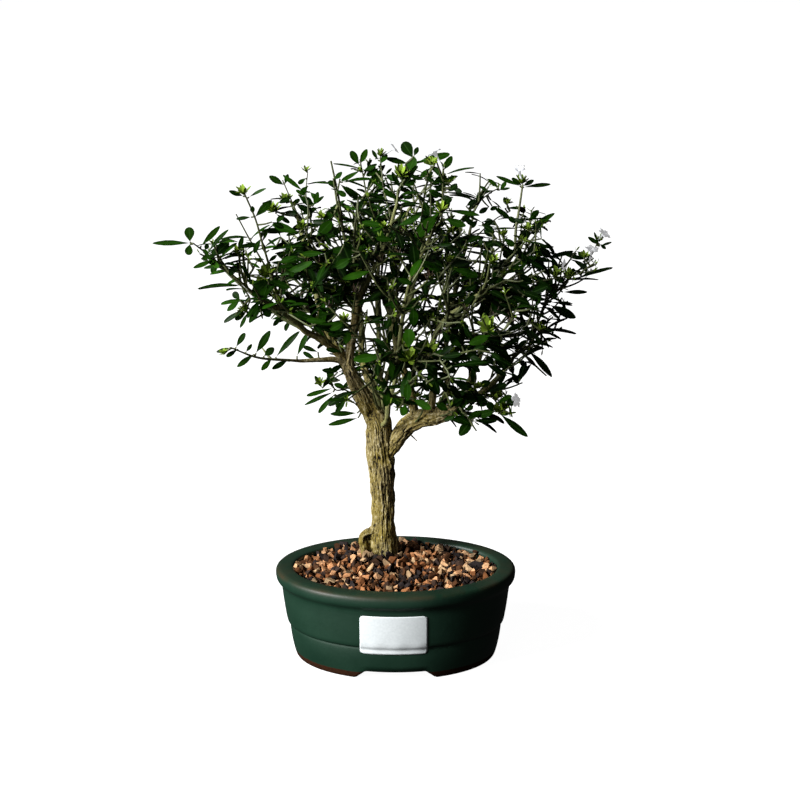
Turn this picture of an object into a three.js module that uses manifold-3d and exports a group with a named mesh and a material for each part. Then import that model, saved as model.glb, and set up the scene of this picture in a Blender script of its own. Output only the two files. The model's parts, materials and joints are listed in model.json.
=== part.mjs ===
// A serissa bonsai in an oval glazed pot. Millimetres, +Z up.
// The origin is the centre of the pot's underside, on the surface it stands on; the front faces -Y.
import * as THREE from 'three';
import { mergeVertices } from 'three/addons/utils/BufferGeometryUtils.js';
import Module from 'manifold-3d';

const wasm = await Module();
wasm.setup();

// ---- Driving dimensions ----

const gap = 0.3; // left between pieces that touch

const pot = {
  height: 58,
  rimStretch: 17.5, // how much longer than deep the oval is, as a half length, at the rim
  footStretch: 13.5, // and at the foot
  underside: 6, // height of the base over the table, between the feet
  floor: 12, // top of the floor inside
  mouth: 48, // half depth inside the lip
  floorEdge: 41.5, // half depth of the floor inside
  shoulder: [45.6, 18], // where the inside turns up from the floor
  footGapTop: 19, // half width of the gap between the feet
  footGapBottom: 26,
  drainX: 28,
  drainRadius: 6,
  core: 20, // closer to the middle than this, the oval is drawn out less
  segments: 36,
};

// The wall's half depth against height, up the outside and over the lip.
const outerWall = [
  [50, 0],
  [51.3, pot.underside],
  [52.6, 14],
  [53.1, 20.6],
  [52.3, 22],
  [53.9, 23.4],
  [54.7, 32],
  [55.6, 45],
  [56.6, 49.6],
  [59.4, 51.6],
  [60, 53.4],
  [60, 55.6],
  [59.2, 57.2],
  [57.6, pot.height],
];
const innerWall = [
  [49.6, pot.height],
  [pot.mouth + 0.4, 57.3],
  [pot.mouth, 55.8],
  [pot.mouth, 40],
  pot.shoulder,
  [pot.floorEdge, pot.floor],
  [0, pot.floor],
];

const soilTop = 51;
const gravel = { edge: 56, mound: 9, moundRadius: 52, bump: 1.2, rings: 5, segments: 24 };
const label = { width: 42, height: 27, middleX: -1.2, middleZ: 31.8, thickness: 0.3 };
const drainMesh = { side: 20, thickness: 1, hole: 4, pitch: 6 };

const boughStep = 13; // length of a bough between two of its rings
const stemThick = [0.95, 0.6]; // half thickness of a spray's stem at its start and its tip
const twigThick = [0.75, 0.6];
const leaf = {
  length: 13,
  longer: 6, // what the longest leaf has more
  tipShorter: 3, // what the pair at a tip has less
  width: 4.6,
  thickness: 0.8,
  spacing: 12, // between pairs along a stem
  leafyShare: 0.62, // of a stem's length, from its tip
  angle: 1.0, // radians between a leaf and its stem
};

const trunkRoute = [
  [-7, 20, 40],
  [-7, 20, 61],
  [-8, 20, 79],
  [-8, 20, 99],
  [-9, 19, 117],
  [-11, 18, 135],
  [-13, 16, 149],
  [-18, 14, 161],
  [-23, 12, 173],
  [-29, 10, 187],
  [-31, 9, 193],
];
const trunkRadii = [10, 8.8, 8.1, 7.3, 7.4, 7.8, 6.9, 6.1, 5.4, 5, 4.2];

const roots = [
  [[-8, 19, 80], [-17, 16, 77], [-22, 14, 72], [-22, 13, 64], [-21, 12, 52]], // shows over the gravel
  [[-8, 21, 50], [-24, 24, 38], [-44, 28, 26]],
  [[-6, 18, 50], [8, 8, 40], [26, -6, 30]],
  [[-7, 18, 48], [-14, 4, 36], [-28, -14, 26]],
  [[-5, 21, 50], [14, 25, 38], [38, 26, 28]],
];

// Boughs: what each grows from, how thick it is at both ends, its route, and its own forks.
const boughs = {
  right: {
    thick: [5.2, 2.3],
    route: [
      [-3, 17, 131], [3, 15, 142], [10, 12, 150], [18, 8, 157], [26, 4, 158], [34, 0, 163], [39, -4, 168],
    ],
    forks: {
      far: {
        thick: [2.4, 0.9],
        route: [
          [34, 0, 163], [45, 2, 169], [55, 4, 174], [62, 8, 179], [68, 14, 184], [73, 22, 189], [80, 32, 193],
          [87, 42, 195], [90, 50, 203], [95, 57, 212], [99, 62, 218], [105, 66, 222], [113, 72, 230],
        ],
      },
      up: {
        thick: [2.4, 1.1],
        route: [
          [22, 6, 157], [24, 2, 179], [22, -2, 198], [25, -6, 214], [33, -10, 227], [42, -14, 234],
          [53, -20, 245],
        ],
      },
      rear: {
        thick: [2.2, 1],
        route: [
          [28, 4, 158], [33, 16, 175], [32, 28, 192], [34, 40, 209], [38, 52, 226], [43, 64, 245],
          [48, 74, 261],
        ],
      },
      tall: {
        thick: [2, 1.1],
        route: [[38, -4, 167], [47, 6, 181], [55, 16, 198], [60, 26, 215], [65, 34, 233], [71, 40, 248]],
      },
    },
  },
  left: {
    thick: [3, 1],
    route: [
      [-31, 9, 193], [-41, 4, 204], [-49, -1, 211], [-56, -6, 216], [-62, -12, 224], [-69, -20, 231],
      [-76, -28, 238], [-84, -38, 246], [-91, -50, 256], [-99, -60, 266],
    ],
    forks: {
      up: { thick: [1.8, 1.1], route: [[-65, -15, 227], [-71, -24, 239], [-74, -32, 251]] },
    },
  },
  left_low: {
    thick: [1.7, 1],
    route: [[-29, 9, 191], [-38, 5, 195], [-48, 0, 196], [-59, -6, 197], [-66, -12, 199]],
  },
  left_back: {
    thick: [2.4, 0.9],
    route: [
      [-31, 10, 193], [-41, 13, 207], [-46, 16, 216], [-49, 20, 228], [-52, 26, 240], [-55, 32, 252],
      [-59, 38, 266], [-63, 42, 280],
    ],
  },
  middle: {
    thick: [3.3, 1.3],
    route: [
      [-30, 9, 191], [-28, 9, 205], [-26, 7, 215], [-25, 5, 226], [-23, 2, 236], [-18, -4, 248],
      [-11, -12, 262], [-6, -20, 276], [-2, -26, 290], [1, -30, 302],
    ],
    forks: {
      left: { thick: [1.7, 1], route: [[-23, 3, 234], [-27, 0, 248], [-29, -4, 260], [-31, -8, 275]] },
    },
  },
  back_stems: {
    thick: [2.4, 1],
    route: [
      [-17, 15, 158], [-14, 24, 162], [-16, 31, 168], [-19, 36, 176], [-22, 42, 188], [-22, 48, 203],
      [-24, 54, 222], [-25, 60, 240], [-26, 66, 259], [-24, 70, 281],
    ],
    forks: {
      right: {
        thick: [1.8, 1],
        route: [
          [-16, 31, 168], [-11, 36, 176], [-11, 42, 184], [-11, 50, 200], [-12, 58, 221], [-11, 66, 246],
          [-10, 72, 271],
        ],
      },
    },
  },
  centre: {
    thick: [2.9, 1],
    route: [
      [13, 11, 151], [10, 10, 172], [6, 8, 185], [2, 6, 196], [0, 4, 207], [-2, 3, 216], [1, 1, 224],
      [6, -2, 231], [10, -4, 238], [11, -8, 249], [14, -12, 262], [19, -16, 273], [25, -20, 287],
    ],
    forks: {
      rear: {
        thick: [1.5, 0.9],
        route: [[-2, 3, 216], [-4, 10, 227], [-2, 18, 240], [-1, 28, 254], [3, 36, 269], [8, 44, 283]],
      },
    },
  },
  front: {
    thick: [1.8, 1],
    route: [
      [-11, 16, 148], [-6, 4, 154], [-4, -6, 172], [0, -18, 188], [2, -34, 211], [5, -52, 241],
      [11, -70, 273],
    ],
  },
  back: {
    thick: [2, 1],
    route: [
      [-14, 16, 152], [-11, 27, 160], [-6, 44, 171], [0, 62, 186], [5, 78, 206], [12, 90, 227],
      [16, 98, 249],
    ],
  },
};

// Leafy sprays: the bough or fork that carries each, how far along it, the tip, and the tips of its side
// twigs. ends are single leaves from the tip to a given point.
const sprays = {
  left_tip: {
    on: 'left', at: 1, tip: [-119, -75, 287], twigs: [[-108, -64, 284]],
    ends: [[-143, -76, 285], [-119, -78, 296], [-124, -70, 279]],
  },
  left_upper: { on: 'left', at: 0.84, tip: [-94, -54, 276], twigs: [[-84, -40, 268]] },
  left_lower: { on: 'left', at: 0.69, tip: [-92, -44, 239], twigs: [[-82, -24, 229]] },
  left_crest: { on: 'left.up', at: 1, tip: [-90, -50, 312], twigs: [[-96, -38, 297], [-74, -50, 266]] },
  low_left: { on: 'left_low', at: 1, tip: [-101, -38, 214], twigs: [[-83, -16, 208]] },
  left_back_tip: { on: 'left_back', at: 1, tip: [-72, 47, 302], twigs: [[-77, 34, 285]] },
  left_back_upper: { on: 'left_back', at: 0.84, tip: [-56, 50, 307], twigs: [[-47, 46, 278]] },
  left_back_lower: { on: 'left_back', at: 0.54, tip: [-70, 18, 263], twigs: [[-59, 4, 280]] },
  middle_tip: { on: 'middle', at: 1, tip: [6, -34, 327], twigs: [], ends: [[9, -38, 334]] },
  middle_side: { on: 'middle', at: 0.62, tip: [-14, -34, 282], twigs: [[-26, -26, 275]] },
  middle_left: { on: 'middle.left', at: 1, tip: [-38, -12, 314], twigs: [[-23, -2, 300], [-45, -20, 284]] },
  middle_low: { on: 'middle', at: 0.36, tip: [-43, -22, 264], twigs: [[-37, -18, 245]] },
  back_stems_tip: { on: 'back_stems', at: 1, tip: [-23, 72, 311], twigs: [[-15, 64, 297]] },
  back_stems_left: { on: 'back_stems', at: 0.69, tip: [-41, 68, 260], twigs: [[-37, 80, 236]] },
  back_stems_right: { on: 'back_stems.right', at: 1, tip: [-10, 76, 311], twigs: [[-1, 84, 286]] },
  back_stems_low: { on: 'back_stems.right', at: 0.55, tip: [4, 78, 257], twigs: [[-8, 96, 242]] },
  centre_tip: { on: 'centre', at: 1, tip: [29, -28, 323], twigs: [[19, -20, 321]] },
  centre_rear: { on: 'centre.rear', at: 1, tip: [11, 52, 309], twigs: [[22, 48, 303]] },
  front_tip: { on: 'front', at: 1, tip: [19, -94, 304], twigs: [[7, -88, 297]], ends: [[21, -119, 300]] },
  front_low: { on: 'front', at: 0.51, tip: [-10, -62, 216], twigs: [[12, -52, 209]] },
  front_middle: { on: 'front', at: 0.75, tip: [28, -78, 258], twigs: [[-4, -76, 259]] },
  right_up_tip: { on: 'right.up', at: 1, tip: [58, -32, 267], twigs: [[67, -36, 256]] },
  right_up_low: { on: 'right.up', at: 0.86, tip: [57, -32, 222], twigs: [[37, -36, 215]] },
  right_rear_tip: { on: 'right.rear', at: 1, tip: [67, 92, 288], twigs: [[53, 84, 284], [75, 86, 274]] },
  right_rear_up: { on: 'right.rear', at: 0.85, tip: [33, 60, 279], twigs: [[29, 76, 259]] },
  right_rear_low: { on: 'right.rear', at: 0.49, tip: [82, 90, 219], twigs: [[60, 94, 212]] },
  right_tall_tip: { on: 'right.tall', at: 1, tip: [81, 48, 299], twigs: [[88, 58, 275], [97, 60, 252]] },
  right_tall_low: { on: 'right.tall', at: 0.61, tip: [68, 20, 269], twigs: [[78, 14, 230]] },
  far_right_tip: {
    on: 'right.far', at: 1, tip: [127, 78, 242], twigs: [[133, 84, 255]],
    ends: [[143, 80, 243]],
  },
  far_right_up: { on: 'right.far', at: 0.9, tip: [103, 58, 243], twigs: [[91, 72, 236]] },
  far_right_middle: { on: 'right.far', at: 0.68, tip: [106, 62, 200], twigs: [[95, 40, 193]] },
  far_right_low: { on: 'right.far', at: 0.5, tip: [97, 28, 178], twigs: [[74, 20, 176]] },
  right_cluster: { on: 'right.far', at: 0.1, tip: [49, -20, 184], twigs: [[34, -22, 180]] },
  right_low: { on: 'right', at: 1, tip: [65, -14, 171], twigs: [[49, -14, 160]] },
  trunk_left: { on: 'trunk', at: 0.87, tip: [-47, 2, 174], twigs: [[-41, -4, 185]] },
  back_tip: { on: 'back', at: 1, tip: [19, 106, 281], twigs: [[36, 106, 266]], ends: [[10, 112, 297]] },
  back_low: { on: 'back', at: 0.45, tip: [48, 104, 227], twigs: [[29, 102, 240]] },
};

// Flowers: the spray and which of its tips they stand on (0 is the main tip), and the way they face.
const flowers = [
  { spray: 'far_right_tip', twig: 1, facing: [0.5, -0.3, 0.8] },
  { spray: 'far_right_tip', twig: 0, facing: [0.2, -0.2, 1] },
  { spray: 'far_right_up', twig: 0, facing: [0.6, -0.3, 0.8] },
  { spray: 'right_tall_tip', twig: 0, facing: [-0.3, -0.2, 1] },
  { spray: 'right_low', twig: 0, facing: [1, -0.3, 0.2] },
  { spray: 'centre_tip', twig: 0, facing: [-0.5, 0.5, 0.8] },
  { spray: 'back_stems_right', twig: 0, facing: [0.6, 0, 0.7] },
];
const flower = { lobes: 5, radius: 4.6, notch: 0.6, length: 9 };

// ---- Solids and meshes ----

// A closed three.js geometry as a solid, so that it can be joined and cut.
function solidOf(geometry) {
  const bare = geometry.clone();
  bare.deleteAttribute('normal');
  bare.deleteAttribute('uv');
  const merged = mergeVertices(bare, 1e-4);
  const corners = [];
  for (let i = 0; i < merged.index.count; i += 3) {
    const [a, b, c] = [0, 1, 2].map((k) => merged.index.getX(i + k));
    if (a !== b && b !== c && c !== a) corners.push(a, b, c);
  }
  return new wasm.Manifold(new wasm.Mesh({
    numProp: 3,
    vertProperties: new Float32Array(merged.attributes.position.array),
    triVerts: new Uint32Array(corners),
  }));
}

// The largest body of a solid, without the slivers that a cut leaves behind.
function largestBody(solid) {
  const bodies = solid.decompose();
  return bodies.reduce((best, body) => (body.volume() > best.volume() ? body : best));
}

function geometryOf(solid) {
  const { vertProperties, triVerts } = solid.getMesh();
  const geometry = new THREE.BufferGeometry();
  geometry.setAttribute('position', new THREE.BufferAttribute(new Float32Array(vertProperties), 3));
  geometry.setIndex(new THREE.BufferAttribute(new Uint32Array(triVerts), 1));
  geometry.computeVertexNormals();
  return geometry;
}

function movePoints(geometry, move) {
  const position = geometry.attributes.position;
  const point = new THREE.Vector3();
  for (let i = 0; i < position.count; i += 1) {
    move(point.fromBufferAttribute(position, i), i);
    position.setXYZ(i, point.x, point.y, point.z);
  }
  return geometry;
}

const vector = (point) => new THREE.Vector3(...point);

// A number from 0 to 1 that is always the same for the same seed.
function scatter(seed) {
  const wave = Math.sin(seed * 127.1 + 311.7) * 43758.5453;
  return wave - Math.floor(wave);
}

// ---- Pot, soil, gravel and label ----

const stretchAt = (z) => pot.footStretch + (pot.rimStretch - pot.footStretch) * z / pot.height;

// A lathe turned round +Z, then drawn out along X into an oval whose wall stays as thick all round.
function ovalLathe(profile, segments) {
  const points = profile.map(([radius, z]) => new THREE.Vector2(radius, z));
  const geometry = new THREE.LatheGeometry(points, segments).rotateX(Math.PI / 2);
  return movePoints(geometry, (p) => {
    const radius = Math.hypot(p.x, p.y);
    if (radius > 0.01) p.x += (p.x / radius) * stretchAt(p.z) * Math.min(1, radius / pot.core);
  });
}

function makePot() {
  const footInner = [[0, pot.underside], [42, pot.underside], [43, 0]];
  const body = solidOf(ovalLathe([...footInner, ...outerWall, ...innerWall], pot.segments));
  const outline = new THREE.Shape([
    new THREE.Vector2(-pot.footGapBottom, -1),
    new THREE.Vector2(pot.footGapBottom, -1),
    new THREE.Vector2(pot.footGapTop, pot.underside),
    new THREE.Vector2(-pot.footGapTop, pot.underside),
  ]);
  const footGap = new THREE.ExtrudeGeometry(outline, { depth: 130, bevelEnabled: false });
  footGap.rotateX(Math.PI / 2).translate(0, 65, 0);
  let solid = body.subtract(solidOf(footGap));
  for (const side of [-1, 1]) {
    const hole = new THREE.CylinderGeometry(pot.drainRadius, pot.drainRadius, 20, 16);
    hole.rotateX(Math.PI / 2).translate(side * pot.drainX, 0, 9);
    solid = solid.subtract(solidOf(hole));
  }
  return solid;
}

function drainPlate(side, grow) {
  const width = drainMesh.side + 2 * grow;
  const plate = new THREE.BoxGeometry(width, width, drainMesh.thickness + 2 * grow);
  return solidOf(plate.translate(side * pot.drainX, 0, pot.floor + gap + drainMesh.thickness / 2));
}

function makeDrainMesh(side) {
  let solid = drainPlate(side, 0);
  for (const column of [-1, 0, 1]) {
    for (const row of [-1, 0, 1]) {
      const hole = new THREE.BoxGeometry(drainMesh.hole, drainMesh.hole, 6);
      const x = side * pot.drainX + column * drainMesh.pitch;
      solid = solid.subtract(solidOf(hole.translate(x, row * drainMesh.pitch, pot.floor)));
    }
  }
  return solid;
}

function makeSoil() {
  const profile = [
    [0, pot.floor + gap],
    [pot.floorEdge - gap, pot.floor + gap],
    [pot.shoulder[0] - gap, pot.shoulder[1] + gap],
    [pot.mouth - gap, 40],
    [pot.mouth - gap, soilTop],
    [0, soilTop],
  ];
  return solidOf(ovalLathe(profile, pot.segments))
    .subtract(drainPlate(-1, gap))
    .subtract(drainPlate(1, gap));
}

// The gravel's surface: level with the inside of the lip, and heaped up round the trunk.
function gravelHeight(x, y) {
  const away = Math.hypot(x - trunkRoute[1][0], y - trunkRoute[1][1]) / gravel.moundRadius;
  return gravel.edge + gravel.mound * Math.max(0, 1 - away) ** 1.4;
}

function makeGravel() {
  const edge = pot.mouth - gap;
  const profile = [[0, soilTop + gap], [edge, soilTop + gap]];
  for (let ring = gravel.rings; ring >= 0; ring -= 1) {
    profile.push([edge * ring / gravel.rings, gravel.edge]);
  }
  const geometry = ovalLathe(profile, gravel.segments);
  movePoints(geometry, (p) => {
    if (p.z < gravel.edge - 0.1) return;
    const seed = Math.round(p.x * 3) * 7.3 + Math.round(p.y * 3);
    p.z = gravelHeight(p.x, p.y) + gravel.bump * (scatter(seed) * 2 - 1);
  });
  return solidOf(geometry);
}

// Half depth of the pot's outside at a height.
function wallRadius(z) {
  const next = outerWall.findIndex(([, height]) => height >= z);
  const [lowRadius, lowZ] = outerWall[next - 1];
  const [highRadius, highZ] = outerWall[next];
  return THREE.MathUtils.mapLinear(z, lowZ, highZ, lowRadius, highRadius);
}

function makeLabel() {
  const sheet = new THREE.BoxGeometry(label.width, label.thickness, label.height, 8, 1, 5);
  movePoints(sheet, (p) => {
    const x = p.x + label.middleX;
    const z = p.z + label.middleZ;
    const radius = wallRadius(z);
    const offset = gap + label.thickness / 2 - p.y;
    p.set(x, -radius * Math.sqrt(1 - (x / (radius + stretchAt(z))) ** 2) - offset, z);
  });
  return solidOf(sheet);
}

// ---- Wood ----

const curveThrough = (points) => new THREE.CatmullRomCurve3(points.map(vector), false, 'centripetal');

// A rod along a curve, thicker or thinner from ring to ring.
function rod(points, radiusAt, sides, steps) {
  const curve = curveThrough(points);
  const frames = curve.computeFrenetFrames(steps, false);
  const geometry = new THREE.CylinderGeometry(1, 1, 1, sides, steps);
  movePoints(geometry, (p) => {
    const along = Math.round((p.y + 0.5) * steps);
    const radius = radiusAt(along / steps);
    const offset = frames.normals[along].clone().multiplyScalar(-p.x * radius);
    offset.addScaledVector(frames.binormals[along], p.z * radius);
    p.copy(curve.getPointAt(along / steps)).add(offset);
  });
  return solidOf(geometry);
}

const taper = ([start, end], grow) => (along) => THREE.MathUtils.lerp(start, end, along) + grow;

const pointOn = (route, along) => curveThrough(route).getPointAt(along);

function ball(centre, radius) {
  return solidOf(new THREE.IcosahedronGeometry(radius, 1).translate(centre.x, centre.y, centre.z));
}

function makeTrunk(grow) {
  const last = trunkRadii.length - 1;
  const radiusAt = (along) => {
    const at = Math.min(last - 1, Math.floor(along * last));
    return THREE.MathUtils.lerp(trunkRadii[at], trunkRadii[at + 1], along * last - at) + grow;
  };
  const stem = rod(trunkRoute, radiusAt, 10, 14);
  const grown = roots.map((route) => rod(route, taper([3.4, 1.4], grow), 5, 5));
  const crown = ball(vector(trunkRoute[last]), trunkRadii[last] + grow);
  return wasm.Manifold.union([stem, crown, ...grown]);
}

function makeBough(bough, grow) {
  const arms = [bough, ...Object.values(bough.forks ?? {})];
  return wasm.Manifold.union(arms.map(({ thick, route }) => {
    const steps = Math.max(3, Math.round(curveThrough(route).getLength() / boughStep));
    return rod(route, taper(thick, grow), thick[0] > 3 ? 6 : 5, steps);
  }));
}

// ---- Leaves ----

// A pointed blade from its stalk to its tip, as a flat octahedron.
function blade(from, to, width, grow) {
  const along = to.clone().sub(from);
  const length = along.length() + grow;
  along.normalize();
  const side = new THREE.Vector3(0, 0, 1).cross(along);
  if (side.length() < 0.1) side.set(1, 0, 0);
  side.normalize();
  const face = along.clone().cross(side);
  const geometry = new THREE.OctahedronGeometry(1);
  geometry.scale(length / 2, (width + grow) / 2, (leaf.thickness + grow) / 2);
  const place = new THREE.Matrix4().makeBasis(along, side, face);
  place.setPosition(from.clone().addScaledVector(along, length / 2));
  return solidOf(geometry.applyMatrix4(place));
}

const placed = [];

function place(solid) {
  placed.push({ solid, box: solid.boundingBox() });
  return solid;
}

function isClear(solid) {
  const box = solid.boundingBox();
  return placed.every((other) => {
    const apart = [0, 1, 2].some((k) => box.min[k] > other.box.max[k] || other.box.min[k] > box.max[k]);
    return apart || other.solid.intersect(solid).isEmpty();
  });
}

// Pairs of leaves along a stem, each pair turned a quarter from the one below. A leaf that would run into
// another spray or a bough isn't grown.
function leavesAlong(route, seed) {
  const curve = curveThrough(route);
  const length = curve.getLength();
  const pairs = Math.max(1, Math.round(length * leaf.leafyShare / leaf.spacing));
  const blades = [];
  for (let pair = 0; pair < pairs; pair += 1) {
    const along = 1 - Math.min(0.85, (pair * leaf.spacing + 1.2) / length);
    const root = curve.getPointAt(along);
    const way = curve.getTangentAt(along);
    const across = new THREE.Vector3(0, 0, 1).cross(way);
    if (across.length() < 0.2) across.set(1, 0, 0);
    across.normalize().applyAxisAngle(way, pair * Math.PI / 2 + scatter(seed + pair));
    for (const side of [-1, 1]) {
      const draw = scatter(seed * 3.1 + pair * 5.7 + side);
      const reach = leaf.length + leaf.longer * draw - (pair === 0 ? leaf.tipShorter : 0);
      const tip = root.clone();
      tip.addScaledVector(way, reach * Math.cos(leaf.angle));
      tip.addScaledVector(across, side * reach * Math.sin(leaf.angle));
      if (isClear(blade(root, tip, leaf.width, 2 * gap))) blades.push(blade(root, tip, leaf.width, 0));
    }
  }
  return blades;
}

function makeSpray({ on, at, tip, twigs, ends = [] }, seed) {
  const [name, fork] = on.split('.');
  const bough = name === 'trunk' ? { route: trunkRoute, thick: [6, 5.2] } : boughs[name];
  const arm = fork ? bough.forks[fork] : bough;
  const start = pointOn(arm.route, at);
  const foot = start.toArray();
  const lift = (from, to) => {
    const middle = vector(from).lerp(vector(to), 0.5);
    middle.z -= 0.06 * vector(from).distanceTo(vector(to));
    return [from, middle.toArray(), to];
  };
  const stem = lift(foot, tip);
  const routes = [stem, ...twigs.map((end, i) => lift(pointOn(stem, 0.3 + 0.25 * i).toArray(), end))];
  const rods = routes.map((route, i) => rod(route, taper(i ? twigThick : stemThick, 0), 4, 3));
  const carrier = THREE.MathUtils.lerp(arm.thick[0], arm.thick[1], at) + gap;
  const cut = largestBody(wasm.Manifold.union(rods).subtract(woodFat).subtract(ball(start, carrier)));
  if (!isClear(cut)) throw new Error(`a stem on ${on} runs into another piece`);
  const blades = routes.flatMap((route, i) => leavesAlong(route, seed * 10 + i));
  for (const end of ends) blades.push(blade(pointOn(stem, 0.96), vector(end), 1.4 * leaf.width, 0));
  return largestBody(wasm.Manifold.union([cut, ...blades]).subtract(woodFat));
}

// ---- Flowers ----

function makeFlower({ spray, twig, facing }) {
  const { tip, twigs } = sprays[spray];
  const { radius, length, lobes, notch } = flower;
  const outline = [
    [0, 0], [0.7, 0], [0.9, length * 0.5], [radius, length * 0.9],
    [radius, length], [1, length * 0.66], [0, length * 0.6],
  ];
  const points = outline.map(([distance, height]) => new THREE.Vector2(distance, height));
  const geometry = new THREE.LatheGeometry(points, lobes * 2);
  movePoints(geometry, (p) => {
    const distance = Math.hypot(p.x, p.z);
    const turn = Math.round(Math.atan2(p.z, p.x) / (Math.PI / lobes));
    if (distance > 2 && Math.abs(turn % 2) === 1) {
      p.x *= notch;
      p.z *= notch;
    }
  });
  const axis = vector(facing).normalize();
  const foot = vector(twig ? twigs[twig - 1] : tip).addScaledVector(axis, 1 + gap);
  geometry.applyQuaternion(new THREE.Quaternion().setFromUnitVectors(new THREE.Vector3(0, 1, 0), axis));
  return solidOf(geometry.translate(foot.x, foot.y, foot.z));
}

// ---- The whole bonsai ----

const bonsai = new THREE.Group();

function add(name, solid, color, roughness) {
  const material = new THREE.MeshStandardMaterial({ color, roughness, metalness: 0 });
  const mesh = new THREE.Mesh(geometryOf(solid), material);
  mesh.name = name;
  bonsai.add(mesh);
}

const trunk = place(makeTrunk(0));
const trunkFat = makeTrunk(gap);

add('pot', makePot(), 0x1d4030, 0.35);
add('drain_mesh_left', makeDrainMesh(-1), 0x1a1a1a, 0.6);
add('drain_mesh_right', makeDrainMesh(1), 0x1a1a1a, 0.6);
add('soil', largestBody(makeSoil().subtract(trunkFat)), 0x2b2018, 0.95);
add('gravel', largestBody(makeGravel().subtract(trunkFat)), 0xb8714a, 0.9);
add('label', makeLabel(), 0xf1f4f6, 0.5);
add('trunk', trunk, 0xa08a5a, 0.85);

// Where boughs leave the trunk side by side, each is cut to fit against the ones before it.
let woodFat = trunkFat;
for (const [name, bough] of Object.entries(boughs)) {
  const start = ball(vector(bough.route[0]), bough.thick[0] + gap);
  const solid = largestBody(makeBough(bough, 0).subtract(woodFat).subtract(start));
  if (!isClear(solid)) throw new Error(`bough ${name} runs into another piece`);
  add(`bough_${name}`, place(solid), 0x7d6a45, 0.8);
  woodFat = woodFat.add(makeBough(bough, gap));
}
flowers.forEach((one, i) => add(`flower_${i + 1}`, place(makeFlower(one)), 0xffffff, 0.6));
Object.entries(sprays).forEach(([name, spray], i) => {
  add(`spray_${name}`, place(makeSpray(spray, i + 1)), 0x1f5a22, 0.45);
});

export default bonsai;
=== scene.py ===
import json
import math

import bmesh
import bpy
import numpy as np
from mathutils import Matrix, Vector, noise

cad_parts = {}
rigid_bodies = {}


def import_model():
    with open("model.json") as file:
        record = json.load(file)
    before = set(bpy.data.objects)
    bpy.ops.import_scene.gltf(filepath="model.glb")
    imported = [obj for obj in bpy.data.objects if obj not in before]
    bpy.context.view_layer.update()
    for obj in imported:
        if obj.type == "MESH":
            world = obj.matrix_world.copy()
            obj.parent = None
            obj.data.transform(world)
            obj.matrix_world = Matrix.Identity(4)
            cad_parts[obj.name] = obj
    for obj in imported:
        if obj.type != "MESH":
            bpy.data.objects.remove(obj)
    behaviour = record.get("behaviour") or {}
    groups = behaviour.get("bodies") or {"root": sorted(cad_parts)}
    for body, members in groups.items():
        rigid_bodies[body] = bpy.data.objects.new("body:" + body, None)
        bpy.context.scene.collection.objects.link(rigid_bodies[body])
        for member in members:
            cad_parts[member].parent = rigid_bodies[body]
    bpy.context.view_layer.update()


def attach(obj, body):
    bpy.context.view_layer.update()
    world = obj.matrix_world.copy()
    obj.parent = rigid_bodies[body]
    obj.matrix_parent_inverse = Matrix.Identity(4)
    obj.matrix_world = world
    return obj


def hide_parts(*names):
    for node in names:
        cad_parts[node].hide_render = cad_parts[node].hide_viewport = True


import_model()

mm = 0.001
scene = bpy.context.scene


# helpers for nodes

class Nodes:
    # short calls for building a node tree
    def __init__(self, tree):
        self.tree = tree

    def set(self, socket, value):
        if isinstance(value, bpy.types.Node):
            value = next(s for s in value.outputs if s.enabled)
        if isinstance(value, bpy.types.NodeSocket):
            self.tree.links.new(value, socket)
        else:
            socket.default_value = (*value[:3], 1) if socket.type == "RGBA" else value

    def add(self, kind, settings=None, **inputs):
        node = self.tree.nodes.new(kind)
        for key, value in (settings or {}).items():
            setattr(node, key, value)
        for key, value in inputs.items():
            name = key.replace("_", " ")
            self.set(next(s for s in node.inputs if s.enabled and s.name == name), value)
        return node

    def math(self, operation, *values, clamp=False):
        node = self.add("ShaderNodeMath", {"operation": operation, "use_clamp": clamp})
        for socket, value in zip(node.inputs, values):
            self.set(socket, value)
        return node.outputs[0]


class Paint(Nodes):
    # a material with one shader
    def __init__(self, name):
        self.material = bpy.data.materials.new(name)
        self.material.use_nodes = True
        super().__init__(self.material.node_tree)

    def attribute(self, name):
        return self.add("ShaderNodeAttribute", {"attribute_name": name}).outputs["Fac"]

    def noise(self, scale, detail, stretch=(1, 1, 1), rough=0.5):
        place = self.add("ShaderNodeTexCoord").outputs["Object"]
        mapped = self.add("ShaderNodeMapping", Vector=place, Scale=stretch)
        texture = self.add("ShaderNodeTexNoise", Vector=mapped, Scale=scale, Detail=detail, Roughness=rough)
        return texture.outputs["Fac"]

    def ramp(self, value, *stops):
        # each stop is a place with a colour or a grey
        node = self.add("ShaderNodeValToRGB", Fac=value)
        elements = node.color_ramp.elements
        while len(elements) < len(stops):
            elements.new(0.5)
        for element, (at, tone) in zip(elements, stops):
            element.position = at
            element.color = (*tone, 1) if isinstance(tone, tuple) else (tone, tone, tone, 1)
        return node.outputs["Color"]

    def mix(self, share, a, b, blend="MIX"):
        node = self.add("ShaderNodeMix", {"data_type": "RGBA", "blend_type": blend})
        for socket, value in zip([s for s in node.inputs if s.enabled], (share, a, b)):
            self.set(socket, value)
        return next(s for s in node.outputs if s.enabled)

    def bump(self, height, depth):
        return self.add("ShaderNodeBump", Strength=1, Distance=depth, Height=height)

    def finish(self, colour, roughness, **others):
        shader = self.tree.nodes["Principled BSDF"]
        for key, value in {"Base_Color": colour, "Roughness": roughness, **others}.items():
            self.set(shader.inputs[key.replace("_", " ")], value)
        return self.material


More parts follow.
